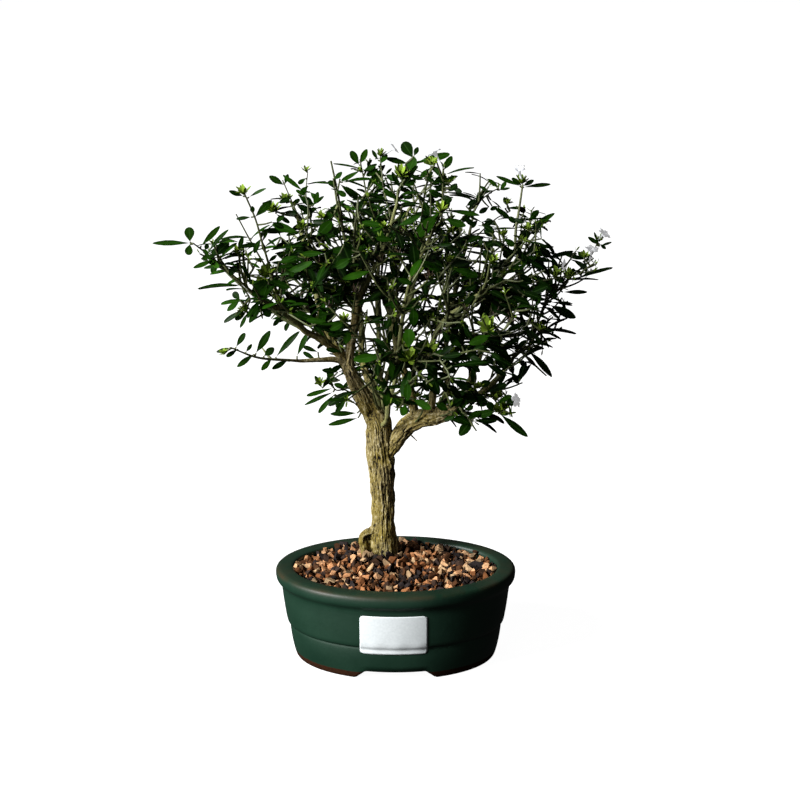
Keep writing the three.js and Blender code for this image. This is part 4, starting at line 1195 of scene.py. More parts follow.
# leaves that show inside it, by how bright they are: painted light on the bright ones and painted shade on
# the dark ones
frontLeaves = {
    "bright": [
        (386, 355, 353, 360, 9), (387, 387, 386, 407, 8), (409, 349, 409, 329, 12), (391, 359, 393, 378, 8),
        (413, 399, 431, 409, 8), (406, 404, 402, 416, 8), (418, 397, 434, 396, 5), (278, 277, 312, 262, 7),
        (372, 271, 342, 279, 7), (362, 280, 342, 292, 7), (440, 213, 415, 237, 11), (492, 335, 469, 344, 9),
        (400, 191, 415, 157, 12), (346, 345, 348, 332, 8), (411, 361, 401, 352, 6), (427, 353, 414, 350, 6),
    ],
    "green": [
        (299, 233, 272, 224, 9), (316, 237, 332, 221, 11), (271, 277, 252, 297, 14),
        (372, 247, 330, 251, 9), (408, 380, 407, 401, 8), (390, 351, 373, 338, 7), (414, 306, 413, 326, 10),
        (396, 298, 392, 309, 7), (494, 270, 499, 287, 11), (452, 268, 478, 276, 8), (445, 219, 466, 226, 8),
        (440, 272, 424, 262, 7), (504, 246, 511, 259, 12), (325, 253, 302, 254, 6), (298, 256, 280, 262, 6),
        (385, 226, 362, 222, 6), (398, 226, 420, 216, 6), (352, 258, 334, 268, 9), (432, 356, 445, 350, 6),
        (427, 356, 434, 368, 9), (440, 386, 428, 376, 9), (462, 346, 450, 340, 7), (484, 336, 492, 322, 8),
        (268, 280, 290, 288, 7), (268, 284, 262, 300, 8), (395, 240, 376, 238, 6), (322, 222, 334, 210, 7),
        (328, 322, 306, 320, 6), (345, 322, 330, 330, 7), (398, 272, 380, 282, 6), (396, 278, 412, 284, 6),
        (504, 238, 514, 246, 7), (308, 186, 300, 194, 6), (334, 180, 342, 172, 5), (306, 178, 298, 184, 5),
        (336, 190, 346, 196, 6), (310, 192, 318, 200, 6), (303, 196, 312, 203, 6),
    ],
    "dark": [
        (493, 262, 483, 250, 9), (497, 238, 484, 230, 7), (497, 240, 484, 247, 7), (484, 242, 478, 242, 7),
        (493, 349, 506, 370, 9), (485, 363, 507, 376, 6), (391, 317, 386, 328, 7), (468, 360, 440, 358, 5),
        (470, 365, 446, 366, 5), (385, 316, 371, 321, 3), (372, 329, 388, 328, 4), (466, 243, 480, 236, 6),
        (330, 222, 312, 222, 5), (420, 203, 402, 205, 5), (437, 246, 452, 244, 4), (480, 282, 466, 292, 6),
        (512, 296, 530, 304, 6), (515, 308, 500, 304, 5), (526, 322, 508, 330, 6), (502, 342, 486, 338, 5),
        (352, 250, 344, 242, 5), (296, 300, 284, 292, 6), (420, 262, 408, 256, 5), (398, 300, 384, 306, 4),
        (446, 360, 480, 355, 6), (452, 366, 488, 361, 6), (414, 364, 438, 368, 7), (438, 356, 452, 346, 6),
        (462, 334, 478, 341, 6), (486, 344, 506, 352, 7), (488, 354, 512, 366, 6), (434, 378, 439, 394, 6),
        (440, 357, 461, 354, 6), (421, 362, 435, 367, 6), (455, 345, 466, 352, 6), (467, 349, 478, 360, 7),
        (469, 339, 481, 343, 6), (396, 352, 407, 361, 6), (408, 361, 416, 373, 6), (441, 379, 447, 393, 6),
        (426, 384, 440, 395, 6), (450, 388, 461, 398, 7), (442, 330, 449, 342, 6), (451, 333, 462, 341, 6),
        (418, 316, 428, 323, 6), (464, 326, 471, 338, 6), (472, 316, 481, 326, 5), (415, 347, 434, 351, 5),
        (296, 204, 311, 212, 7), (292, 208, 300, 221, 6), (276, 214, 290, 223, 5), (300, 215, 317, 208, 6),
        (505, 283, 530, 287, 9), (528, 294, 548, 286, 8), (522, 252, 530, 267, 6), (545, 270, 531, 262, 5),
        (518, 290, 540, 298, 7), (425, 180, 411, 176, 5), (432, 186, 447, 190, 6), (450, 187, 440, 178, 5),
        (446, 197, 431, 192, 5), (425, 176, 436, 184, 5), (500, 276, 488, 284, 6), (534, 282, 520, 276, 6),
        (422, 378, 428, 392, 5), (500, 336, 486, 329, 5), (504, 346, 520, 338, 6), (330, 330, 322, 346, 5),
        (318, 352, 302, 346, 5), (312, 322, 322, 334, 5), (446, 384, 458, 392, 7), (430, 384, 446, 378, 6),
        (433, 182, 447, 176, 7), (434, 192, 446, 184, 7), (446, 190, 458, 186, 6), (428, 194, 434, 204, 6),
        (440, 196, 452, 200, 6), (452, 188, 462, 192, 5), (278, 203, 290, 198, 6), (284, 212, 296, 214, 6),
        (272, 222, 284, 228, 6), (290, 206, 300, 199, 5), (274, 206, 262, 203, 5), (476, 210, 466, 217, 6),
        (498, 206, 490, 210, 5), (516, 206, 526, 212, 6), (478, 220, 470, 228, 6), (512, 218, 522, 222, 5),
        (494, 220, 484, 226, 6), (342, 352, 326, 349, 5), (338, 372, 322, 370, 6), (340, 380, 326, 378, 6),
        (344, 364, 330, 372, 6), (430, 352, 442, 360, 7), (444, 366, 456, 372, 7), (426, 368, 434, 376, 6),
        (448, 354, 458, 362, 7), (436, 372, 448, 378, 7), (472, 212, 462, 222, 7), (482, 224, 494, 232, 7),
        (466, 206, 476, 200, 6), (489, 207, 479, 213, 6), (497, 226, 486, 219, 6), (463, 216, 474, 226, 6),
        (478, 202, 468, 210, 5), (468, 356, 480, 362, 7), (478, 366, 492, 360, 7), (470, 364, 480, 372, 6),
        (496, 366, 486, 356, 7), (472, 350, 484, 346, 6), (490, 352, 500, 360, 6), (428, 190, 438, 198, 6),
        (448, 192, 457, 184, 6), (424, 178, 433, 172, 5),
    ],
}
# tones of painted light and painted shade for each kind of shown leaf
litAndShadedLeafTones = {"bright": 0.88, "green": 0.62, "dark": 0.12}
# rosettes of new leaves: column, row and width
rosettes = [
    (238, 254, 11), (244, 194, 11), (274, 212, 14), (286, 203, 13), (302, 229, 12), (306, 172, 8),
    (322, 217, 8), (247, 311, 12), (265, 278, 16), (381, 157, 11), (400, 178, 15), (431, 165, 11),
    (440, 212, 14), (450, 183, 9), (450, 233, 9), (448, 262, 9), (507, 204, 9), (522, 184, 12),
    (503, 237, 12), (491, 264, 13), (528, 230, 9), (554, 277, 14), (567, 276, 11), (584, 258, 9),
    (600, 241, 9), (489, 330, 15), (540, 330, 9), (427, 352, 16), (409, 361, 15), (495, 401, 16),
    (501, 411, 12), (462, 402, 11), (416, 397, 9), (345, 322, 11), (385, 228, 8), (360, 172, 8),
    (224, 354, 7), (478, 388, 9), (395, 268, 8), (320, 384, 9),
]
# clumps of old twig ends: column and row
twigClumps = [
    (306, 268), (318, 270), (310, 310), (304, 296), (356, 287), (364, 286), (394, 262), (384, 266),
    (428, 278), (434, 284), (482, 306), (494, 312), (504, 318), (513, 344), (518, 350), (466, 312),
    (400, 236), (442, 336), (330, 306), (288, 282),
]
crownOutline = [
    (196, 262), (207, 296), (232, 318), (268, 324), (302, 346), (338, 364), (318, 385), (308, 403),
    (345, 418), (362, 395), (395, 425), (440, 425), (455, 437), (530, 430), (514, 398), (540, 370),
    (560, 345), (577, 318), (590, 288), (610, 266), (600, 240), (560, 222), (550, 190), (500, 175),
    (450, 155), (405, 145), (355, 152), (305, 172), (285, 180), (245, 196), (248, 222), (215, 230),
    (185, 242),
]
# outlines of where the crown is thinner, and the share of the leaves that grow there
thinPlaces = [
    (0.4, [(465, 150), (560, 180), (560, 222), (500, 226), (470, 200)]),
    (0.35, [(245, 190), (300, 165), (312, 196), (265, 215)]),
    (0.45, [(300, 165), (350, 152), (395, 150), (395, 190), (312, 204)]),
    (0.6, [(285, 205), (345, 200), (345, 232), (285, 232)]),
    (0.6, [(425, 165), (490, 205), (490, 240), (425, 225)]),
    (0.8, [(455, 355), (520, 355), (500, 425), (455, 425)]),
    (0.3, [(200, 262), (264, 262), (264, 320), (215, 320)]),
    (0.35, [(540, 258), (592, 258), (582, 335), (530, 340)]),
    (0.4, [(422, 160), (462, 165), (462, 206), (422, 206)]),
    (0.3, [(545, 215), (600, 235), (590, 262), (545, 262)]),
    (0.35, [(500, 345), (560, 335), (530, 385), (495, 385)]),
    (0.8, [(290, 335), (345, 350), (345, 400), (305, 395)]),
    (0.35, [(225, 205), (300, 215), (280, 262), (215, 262)]),
    (0.7, [(380, 165), (422, 165), (422, 225), (380, 225)]),
]
# gaps that show through the crown: column, row, width and height
gaps = [
    (266, 190, 26, 12), (295, 173, 14, 14), (322, 189, 14, 12), (319, 174, 16, 8), (347, 174, 12, 6),
    (332, 197, 6, 16), (266, 214, 8, 14), (272, 235, 16, 6), (290, 221, 14, 5), (271, 256, 9, 8),
    (220, 277, 28, 10), (214, 294, 24, 12), (240, 270, 8, 5), (292, 287, 7, 9), (301, 282, 5, 6),
    (345, 312, 14, 12), (337, 322, 6, 18), (362, 310, 4, 14), (377, 308, 17, 17), (370, 327, 8, 7),
    (382, 334, 13, 9), (372, 347, 6, 10), (385, 371, 8, 18), (397, 386, 6, 12), (342, 196, 6, 9),
    (366, 178, 8, 5), (388, 168, 8, 11), (335, 243, 8, 6), (366, 230, 6, 4), (386, 266, 6, 7),
    (403, 158, 7, 6), (424, 168, 8, 6), (421, 186, 8, 12), (437, 172, 4, 8), (456, 173, 14, 7),
    (472, 183, 30, 12), (463, 202, 20, 7), (487, 199, 11, 5), (508, 196, 14, 9), (488, 215, 12, 5),
    (504, 224, 22, 4), (506, 212, 12, 7), (508, 188, 16, 6), (521, 190, 14, 12), (531, 197, 18, 16),
    (549, 200, 18, 16), (552, 233, 20, 13), (535, 238, 10, 6), (566, 240, 24, 14), (506, 231, 14, 4),
    (512, 239, 7, 7), (475, 253, 10, 8), (482, 263, 7, 13), (498, 252, 5, 11), (516, 262, 7, 9),
    (511, 275, 8, 6), (538, 274, 9, 5), (528, 268, 4, 6), (433, 288, 8, 12), (428, 303, 10, 5),
    (442, 290, 4, 12), (453, 287, 8, 5), (405, 268, 6, 7), (402, 290, 6, 9), (404, 318, 8, 11),
    (424, 330, 9, 9), (476, 314, 6, 9), (481, 325, 8, 5), (497, 318, 9, 7), (508, 322, 8, 6),
    (527, 314, 7, 7), (512, 338, 8, 7), (460, 352, 8, 6), (452, 341, 6, 6), (437, 350, 6, 9),
    (413, 342, 7, 8), (460, 372, 16, 9), (486, 378, 16, 16), (428, 372, 6, 9), (438, 372, 6, 5),
    (401, 378, 7, 12), (418, 389, 5, 7), (434, 393, 9, 8), (470, 300, 5, 5), (350, 217, 6, 5),
]
# outlines of the wood that shows between the leaves
clearOfLeaves = [
    [
        (341, 362), (352, 350), (372, 376), (384, 405), (392, 428), (404, 410), (420, 402), (440, 405),
        (452, 416), (450, 440), (400, 450), (362, 450), (352, 410),
    ],
    [(346, 350), (352, 298), (364, 298), (362, 350)],
    [(345, 366), (300, 338), (268, 310), (276, 304), (306, 326), (345, 350)],
    [(407, 302), (412, 272), (420, 268), (418, 296)],
    [
        (356, 298), (372, 262), (380, 240), (387, 218), (394, 192), (402, 194), (395, 224), (388, 248),
        (380, 270), (366, 298),
    ],
    [(430, 350), (436, 330), (446, 315), (462, 302), (468, 308), (452, 322), (442, 334), (437, 350)],
    [(421, 257), (431, 230), (438, 208), (446, 210), (438, 234), (428, 258)],
    [(444, 312), (441, 280), (445, 250), (452, 250), (448, 280), (450, 312)],
]
crownShape = {
    "middle": (400, 290),  # column and row
    "depths": (-112, 114),
    "heart": (-4, 12, 150),  # shoots lead away from here
    "centre": (3, 0, 235),  # painted shade: leaves are darker the nearer they are to it
    "radii": (135, 110, 95),
    "fillCentre": (3, 8, 225),
    "fillRadii": (135, 108, 105),
    "fillBox": [(-118, -88, 160), (128, 108, 322)],
    "gapMargin": 1.3,  # pixels, for the width of the leaves beside a gap
    "windowDepth": 14,  # leaves nearer than this can hide the wood that shows
    "litTrunk": 44,  # how many points of the trunk's line stay in the light
    "litReach": 10,  # no leaf comes this close to their light
    "seed": 11,
}
shoots = {
    "thick": 0.95,  # radius at a shoot's foot
    "thin": 0.45,
    "spacing": 1.6,  # between the points of a shoot's line
    "shownShare": 0.31,  # radius of a shoot that shows, against its width
    "shownTaper": 0.62,
    "wideFrom": 3.6,  # a shoot this wide stays free of leaves in front
    "leafGap": 6.2,
    "leafy": 0.75,
    "fillEvery": 7.0,
    "fillLength": (18, 38),
    "sideLength": (10, 22),
    "bareArms": ["left_low"],
    "gapTries": 3000,  # how many places are tried for one more shoot
    "gapWidth": 12.4,  # a place this far from any leaf gets one
    "gapReach": (9, 60),
    "gapTurn": 1.6,  # how much a sideways shoot counts as a longer one
    "sameTip": 12,  # a spray's tip this many pixels from the tip of a shoot that shows is the same one
    "sides": 7,
    "knuckle": 0.3,
    "paler": 0.6,
}
leafCut = {
    "length": (14, 23),
    "broad": (0.22, 0.31),  # width as a share of the length
    "shownBroad": (0.17, 0.22),
    "angle": (48, 82),  # degrees between leaf and stem
    "droop": 0.2,
    "shapes": 8,
    "flat": 4,  # the first of them hardly arch
    "stations": [0.1, 0.28, 0.46, 0.66, 0.84, 0.95],
    "thickness": 0.035,
    "tuftSize": 4.5,
}


def cameraAxes():
    down = math.radians(camera["down"])
    ahead = np.array((0, math.cos(down), -math.sin(down)))
    up = np.array((0, math.sin(down), math.cos(down)))
    return np.array(camera["target"]) - ahead * camera["distance"], ahead, up


eye, ahead, upward = cameraAxes()
focal = camera["lens"] / camera["sensor"] * frameSize


def toFrame(spots):
    # columns and rows where points in mm show
    away = np.atleast_2d(spots) - eye
    scale = focal / (away @ ahead)
    return np.stack([frameSize / 2 + away[:, 0] * scale, frameSize / 2 - away @ upward * scale], axis=1)


def fromFrame(column, row, depth):
    # the point in mm that shows there, on the upright plane at this depth
    ray = ahead + upward * (frameSize / 2 - row) / focal
    ray[0] = (column - frameSize / 2) / focal
    return eye + ray * (depth - eye[1]) / ray[1]


def insideOutline(outline, column, row):
    inside = False
    for (ax, ay), (bx, by) in zip(outline, outline[1:] + outline[:1]):
        if (ay > row) != (by > row) and column < ax + (bx - ax) * (row - ay) / (by - ay):
            inside = not inside
    return inside


def insideCrown(spot, margin=0):
    # the margin keeps this many pixels from the edge
    nearest, farthest = crownShape["depths"]
    if not nearest < spot[1] < farthest:
        return False
    place = toFrame(spot)[0]
    away = place - crownShape["middle"]
    return insideOutline(crownOutline, *(place + away / np.linalg.norm(away) * margin))


def leafiness(spot):
    place = toFrame(spot)[0]
    shares = [share for share, outline in thinPlaces if insideOutline(outline, *place)]
    return math.sqrt(min(shares, default=1))


def inGap(spot):
    columns, rows, widths, heights = np.array(gaps, float).T
    column, row = toFrame(spot)[0]
    across = (column - columns) / (widths / 2 + crownShape["gapMargin"])
    upright = (row - rows) / (heights / 2 + crownShape["gapMargin"])
    return (across**2 + upright**2).min() < 1


def hidesWood(spot):
    if spot[1] > crownShape["windowDepth"]:
        return False
    place = toFrame(spot)[0]
    return any(insideOutline(window, *place) for window in clearOfLeaves)


class Crown:
    # gathers the shoots and the leaves of the whole tree
    def __init__(self):
        self.rng = np.random.RandomState(crownShape["seed"])
        self.lines = []  # line, radii, bough
        self.leaves = []  # base, rotation, size, shape, tone, young, bough
        self.spans = []  # base and tip of each leaf, and whether it was placed where it shows
        self.views = []  # column, row, width and depth of what is to be seen

    def arm(self, bough, index):
        return smoothRoute(trunk["route"][:-1] if bough == "trunk" else boughs[bough][index][1], 2.0)

    def addLine(self, points, radii, bough):
        line = smoothRoute(points, shoots["spacing"])
        self.lines.append((line, np.linspace(*radii, len(line)), bough))
        return line

    def leaf(self, bough, base, aim, face, length, width, tone=None, young=0.0, keep=False):
        aim, base = unit(np.array(aim, float)), np.array(base, float)
        middle, tip = base + aim * length / 2, base + aim * length
        if not keep:
            if not (insideCrown(tip, 7) and insideCrown(base, 5)) or hidesWood(tip) or hidesWood(middle):
                return
            if self.rng.rand() > leafiness(middle) or any(inGap(spot) for spot in (base, middle, tip)):
                return
        face = face - aim * np.dot(face, aim)
        if np.linalg.norm(face) < 0.15:
            face = np.cross(aim, (1, 0, 0))
        face = unit(face)
        turn = Matrix((aim, np.cross(face, aim), face)).transposed().to_euler()
        if tone is None:  # painted shade: darker the deeper it sits in the crown; painted light: lighter on the left, where the key light stands
            depth = np.linalg.norm((base - crownShape["centre"]) / crownShape["radii"])
            paintedSunlight = 0.2 * max(0, -base[0] / 100)
            tone = float(np.clip(depth + paintedSunlight - 0.62 + self.rng.normal() * 0.3, 0, 1))
        shape = self.rng.randint(leafCut["flat"] if keep else leafCut["shapes"])
        self.leaves.append((base, turn, (length, width, length), shape, tone, young, bough))
        self.spans.append((base, tip, keep))

    def leafPair(self, bough, base, along, across, size, gone=0.1):
        for side in (-1, 1):
            if self.rng.rand() < gone:
                continue
            length = size * self.rng.uniform(*leafCut["length"])
            angle = math.radians(self.rng.uniform(*leafCut["angle"]))
            aim = along * math.cos(angle) + across * side * math.sin(angle)
            aim = aim * (1.25, 0.75, 0.5) - np.array((0, 0, leafCut["droop"] * self.rng.rand()))
            width = length * self.rng.uniform(*leafCut["broad"])
            facing = 0.5 * along + np.array((0, 0, 1.0)) + self.rng.normal(size=3) * 0.3
            self.leaf(bough, base, aim, facing, length, width)

    def tuft(self, bough, base, along, size, count, young, keep=False):
        # narrow new leaves packed round a tip
        turn = self.rng.rand() * 6.28
        _, firsts, seconds = sidesOf(np.array([base, base + along, base + 2 * along]))
        for k in range(count):
            angle = turn + 2.4 * k
            out = firsts[0] * math.cos(angle) + seconds[0] * math.sin(angle)
            aim = along + out * self.rng.uniform(0.2, 1.5)
            length = size * self.rng.uniform(0.65, 1.1)
            broad = self.rng.uniform(0.24, 0.34) if keep else self.rng.uniform(0.2, 0.3)
            self.leaf(bough, base, aim, along - 0.6 * out, length, length * broad,
                      young=young * self.rng.uniform(0.45, 1), keep=keep)

    def dress(self, bough, line, size, leafy=None):
        # opposite pairs of leaves from the tip downwards, each pair a quarter turn on
        tangents, firsts, seconds = sidesOf(line)
        step = np.linalg.norm(line[1] - line[0])
        length = step * (len(line) - 1)
        place, number, tuftSize = 0.5, 0, leafCut["tuftSize"]
        while place < length * (leafy or shoots["leafy"]):
            i = max(0, len(line) - 1 - round(place / step))
            angle = number * math.pi / 2 + self.rng.uniform(-0.4, 0.4)
            across = firsts[i] * math.cos(angle) + seconds[i] * math.sin(angle)
            self.leafPair(bough, line[i], tangents[i], across, size * (0.7 if number == 0 else 1))
            if self.rng.rand() < 0.08:
                aside = across * self.rng.choice((-1, 1))
                self.tuft(bough, line[i], unit(tangents[i] + aside), tuftSize, 4, 0.45)
            place += shoots["leafGap"] * self.rng.uniform(0.8, 1.25)
            number += 1
        self.tuft(bough, line[-1], tangents[-1], tuftSize, 5, 0.5)

    def shoot(self, bough, foot, tip, radii, size=1.0, leafy=None):
        foot, tip = np.array(foot, float), np.array(tip, float)
        length = np.linalg.norm(tip - foot)
        middle = foot * 0.45 + tip * 0.55 + self.rng.normal(size=3) * 0.03 * length
        middle[2] -= 0.05 * length
        line = self.addLine([foot, middle, tip], radii, bough)
        self.dress(bough, line, size, leafy)
        return line

    def fill(self, bough, line, every, lengths, size=1.0, start=0.3):
        # side shoots along a line, each leaning outwards and up
        step = np.linalg.norm(line[1] - line[0])
        tangents, firsts, seconds = sidesOf(line)
        place = len(line) * start + self.rng.rand() * every / step
        while place < len(line) - 2:
            i = int(place)
            angle = self.rng.rand() * 6.28
            out = firsts[i] * math.cos(angle) + seconds[i] * math.sin(angle)
            outward = unit(np.array((line[i][0] + 5, line[i][1] - 12, 0)) + 1e-6)
            way = unit(out * 0.9 + tangents[i] * 0.7 + outward * 0.4 + np.array((0, 0, 0.7)))
            tip = line[i] + way * self.rng.uniform(*lengths)
            if insideCrown(tip) and not inGap(tip) and self.rng.rand() < leafiness(tip):
                self.shoot(bough, line[i], tip, (shoots["thick"] * 0.75, shoots["thin"]), size)
            place += every / step * self.rng.uniform(0.7, 1.4)

    def gatherWood(self):
        # every point on the wood, and where it shows, so that a leaf finds what carries it
        self.spots = np.vstack([line for line, _, _ in self.lines])
        self.ways = np.vstack([np.gradient(line, axis=0) for line, _, _ in self.lines])
        self.owners = [bough for line, _, bough in self.lines for _ in line]
        self.shown = toFrame(self.spots)

    def carrier(self, column, row, depth=None):
        # the wood that shows nearest to this place, at about this depth or else as near as it can be
        beside = np.linalg.norm(self.shown - (column, row), axis=1) * pixel
        if depth is None:
            deep = 0.07 * (self.spots[:, 1] + 110)
        else:
            deep = 0.12 * np.abs(self.spots[:, 1] - depth)
        i = int(np.argmin(np.maximum(beside - 1.5, 0) + deep))
        return self.owners[i], self.spots[i], self.ways[i], fromFrame(column, row, self.spots[i][1])

    def stalk(self, bough, spot, base, radii, sag=0.0, least=0.8):
        # joins what stands beside the wood to it
        if np.linalg.norm(base - spot) > least:
            middle = [(spot + base) / 2 - (0, 0, sag)] if sag else []
            self.addLine([spot, *middle, base], radii, bough)

    def frontShoot(self, depths, width, places, leafy):
        # a shoot that shows, from the wood that carries it
        self.gatherWood()
        bough, foot, _, _ = self.carrier(*places[0], depths[0])
        tips = np.array([tip for spray in sprays.values() for tip in (spray[3], *spray[4])], float)
        beside = np.linalg.norm(toFrame(tips) - places[-1], axis=1)
        tip = tips[np.argmin(beside)] if beside.min() < shoots["sameTip"] else None
        depth = depths[1] if tip is None else tip[1]
        deep = np.interp(np.arange(len(places)), [0, len(places) - 1], (foot[1], depth))
        points = [fromFrame(column, row, y) for (column, row), y in zip(places, deep)]
        if tip is not None:
            points[-1] = tip
        self.stalk(bough, foot, points[0], (0.8, 0.8), 0.5, 2.5)
        radius = width * pixel * shoots["shownShare"]
        line = self.addLine(points, (radius, radius * shoots["shownTaper"]), bough)
        if width > shoots["wideFrom"]:
            self.views += [(*place, 2, spot[1]) for place, spot in zip(toFrame(line), line) if spot[1] < 20]
        if leafy:
            self.dress(bough, line, 0.85, 0.7)
            self.fill(bough, line, 9, shoots["sideLength"], 0.9, start=0.2)

    def shownLeaf(self, place, depth=None, tone=None):
        # a leaf where it shows, on the wood behind its stalk, turned until it looks as wide as it should
        column, row, tipColumn, tipRow, wide = place
        bough, spot, _, base = self.carrier(column, row, depth)
        lean = self.rng.uniform(-4, 4)
        aim = fromFrame(tipColumn, tipRow, base[1] + lean) - base
        self.stalk(bough, spot, base, (0.6, 0.45), 0.4)
        length = np.linalg.norm(aim)
        shown = wide * pixel
        width = max(shown, length * self.rng.uniform(*leafCut["shownBroad"]))
        sight = unit(base - eye)
        toward = unit(sight - unit(aim) * np.dot(sight, unit(aim)))
        aside = np.cross(unit(aim), toward)
        if aside[2] < 0:
            aside = -aside
        share = min(1, shown / width)
        face = -toward * share + aside * math.sqrt(1 - share**2)
        tone = self.rng.uniform(0.2, 0.9) if tone is None else tone
        self.leaf(bough, base, aim, face, length, width * 0.94, tone=tone, keep=True)
        if depth is None:
            for share in (0.35, 0.6, 0.85):
                self.views.append((*toFrame(base + aim * share)[0], wide * 0.8, base[1]))

    def rosette(self, column, row, wide):
        bough, spot, way, base = self.carrier(column, row)
        self.stalk(bough, spot, base, (0.6, 0.5))
        along = unit(0.4 * unit(way) + np.array((0, -0.35, 0.8)))
        self.tuft(bough, base, along, wide * 0.56, 20, 1.0, keep=True)
        self.views.append((*toFrame(base + along * wide * 0.2)[0], wide + 2, base[1]))

    def twigClump(self, column, row):
        # short dead twig ends, close together
        bough, spot, _, _ = self.carrier(column, row)
        for _ in range(6):
            start = spot + self.rng.normal(size=3) * 0.8
            way = unit(self.rng.normal(size=3) * 0.5 + np.array((0, -0.3, 0.9)))
            self.addLine([spot, start + way * 2, start + way * self.rng.uniform(4, 8)], (0.28, 0.16), bough)

    def isEmpty(self, place, leaves):
        # whether one more shoot may end here
        away = (place - crownShape["fillCentre"]) / crownShape["fillRadii"]
        if np.linalg.norm(away) > 1 or not insideCrown(place, 14):
            return False
        if hidesWood(place) or leafiness(place) < 1 or inGap(place):
            return False
        return np.linalg.norm(leaves - place, axis=1).min() >= shoots["gapWidth"]

    def closeGaps(self):
        # shoots to places in the crown that are still empty, leading away from its heart
        leaves = np.array([leaf[0] for leaf in self.leaves])
        self.gatherWood()
        spots, owners = self.spots, list(self.owners)
        low, high = np.array(crownShape["fillBox"])
        shortest, longest = shoots["gapReach"]
        for place in self.rng.uniform(low, high, (shoots["gapTries"], 3)):
            if not self.isEmpty(place, leaves):
                continue
            away = place - spots
            distance = np.linalg.norm(away, axis=1) + 1e-6
            lead = away @ unit(place - crownShape["heart"]) / distance
            reach = distance * (1 + shoots["gapTurn"] * (1 - lead))
            i = int(np.argmin(reach))
            if owners[i] not in shoots["bareArms"] and shortest < reach[i] < longest:
                count = len(self.leaves)
                line = self.shoot(owners[i], spots[i], place, (shoots["thick"] * 0.7, shoots["thin"]), 1, 0.8)
                spots = np.vstack([spots, line])
                owners.extend([owners[i]] * len(line))
                leaves = np.vstack([leaves, [place], *[leaf[0] for leaf in self.leaves[count:]]])

    def letLightIn(self):
        # drops the leaves that would shade the upper trunk and the low branch
        spots = np.vstack([self.arm("trunk", 0)[-crownShape["litTrunk"]:], self.arm("left_low", 0)])
        way = unit(np.array(studio["lights"]["key"][0]) * 1000 - spots[0])
        lit = []
        for base, tip, keep in self.spans:
            away = (base + tip) / 2 - spots
            along = away @ way
            beside = np.linalg.norm(away - along[:, None] * way, axis=1)
            lit.append(keep or beside[along > 5].min(initial=math.inf) > crownShape["litReach"])
        self.leaves = [leaf for leaf, shown in zip(self.leaves, lit) if shown]
        self.spans = [span for span, shown in zip(self.spans, lit) if shown]

    def clearViews(self):
        # drops the leaves that grew in front of what is to be seen
        bases, tips, kept = (np.array(values) for values in zip(*self.spans))
        starts = toFrame(bases)
        spans = toFrame(tips) - starts
        dropped = np.zeros(len(kept), bool)
        for column, row, wide, depth in self.views:
            away = np.array((column, row)) - starts
            share = np.clip((away * spans).sum(axis=1) / np.maximum((spans**2).sum(axis=1), 1e-6), 0, 1)
            near = np.linalg.norm(away - spans * share[:, None], axis=1)
            dropped |= (near < wide / 2 + 0.8) & (bases[:, 1] < depth - 0.5) & ~kept
        self.leaves = [leaf for leaf, gone in zip(self.leaves, dropped) if not gone]

    def growSpray(self, spray, shownTips):
        # the spray's own shoot and its side twigs, without those that are shown already
        bough, index, at, tip, twigs = spray
        line = self.arm(bough, index)
        foot = line[min(len(line) - 1, round(at * (len(line) - 1)))]
        stem = None
        for number, end in enumerate([tip, *twigs]):
            if np.linalg.norm(shownTips - toFrame(end), axis=1).min() < shoots["sameTip"]:
                continue
            start = foot if stem is None else stem[int(len(stem) * (0.05 + 0.25 * number))]
            grown = self.shoot(bough, start, end, (shoots["thick"], shoots["thin"]))
            self.fill(bough, grown, 8, shoots["sideLength"], 0.9, start=0.15)
            stem = grown if number == 0 else stem


def growCrown():
    crown = Crown()
    arms = [(bough, crown.arm(bough, i)) for bough in boughs for i in range(len(boughs[bough]))]
    for bough, line in [*arms, ("trunk", crown.arm("trunk", 0)[-18:])]:
        crown.lines.append((line, None, bough))
    for shown, leafy in ((bareShoots, False), (frontShoots, True)):
        for depths, width, places in shown:
            crown.frontShoot(depths, width, places, leafy)
    shownTips = np.array([places[-1] for _, _, places in frontShoots])
    for spray in sprays.values():
        crown.growSpray(spray, shownTips)
    for bough, line in arms:
        if bough not in shoots["bareArms"]:
            crown.fill(bough, line, shoots["fillEvery"], shoots["fillLength"], start=0.12)
    crown.closeGaps()
    crown.gatherWood()
    for depth, places in edgeLeaves.items():
        for place in places:
            crown.shownLeaf(place, depth)
    for kind, places in frontLeaves.items():
        for place in places:
            crown.shownLeaf(place, tone=litAndShadedLeafTones[kind])
    for place in rosettes:
        crown.rosette(*place)
    for place in twigClumps:
        crown.twigClump(*place)
    crown.letLightIn()
    crown.clearViews()
    print("grew", len(crown.lines), "shoots and", len(crown.leaves), "leaves")
    return crown


def stemMaterial():
    paint = Paint("greenTwigBark")
    streak = paint.noise(400, 4, stretch=(1, 1, 0.5))
    colour = paint.ramp(paint.attribute("thick"), (0.22, (0.06, 0.034, 0.016)), (0.34, (0.035, 0.046, 0.011)),
                        (0.6, (0.068, 0.082, 0.021)), (0.85, (0.125, 0.14, 0.046)))
    shade = paint.ramp(streak, (0.3, 0.45), (0.65, 1))
    return paint.finish(paint.mix(1.0, colour, shade, "MULTIPLY"), 0.6, Normal=paint.bump(streak, 0.0002))


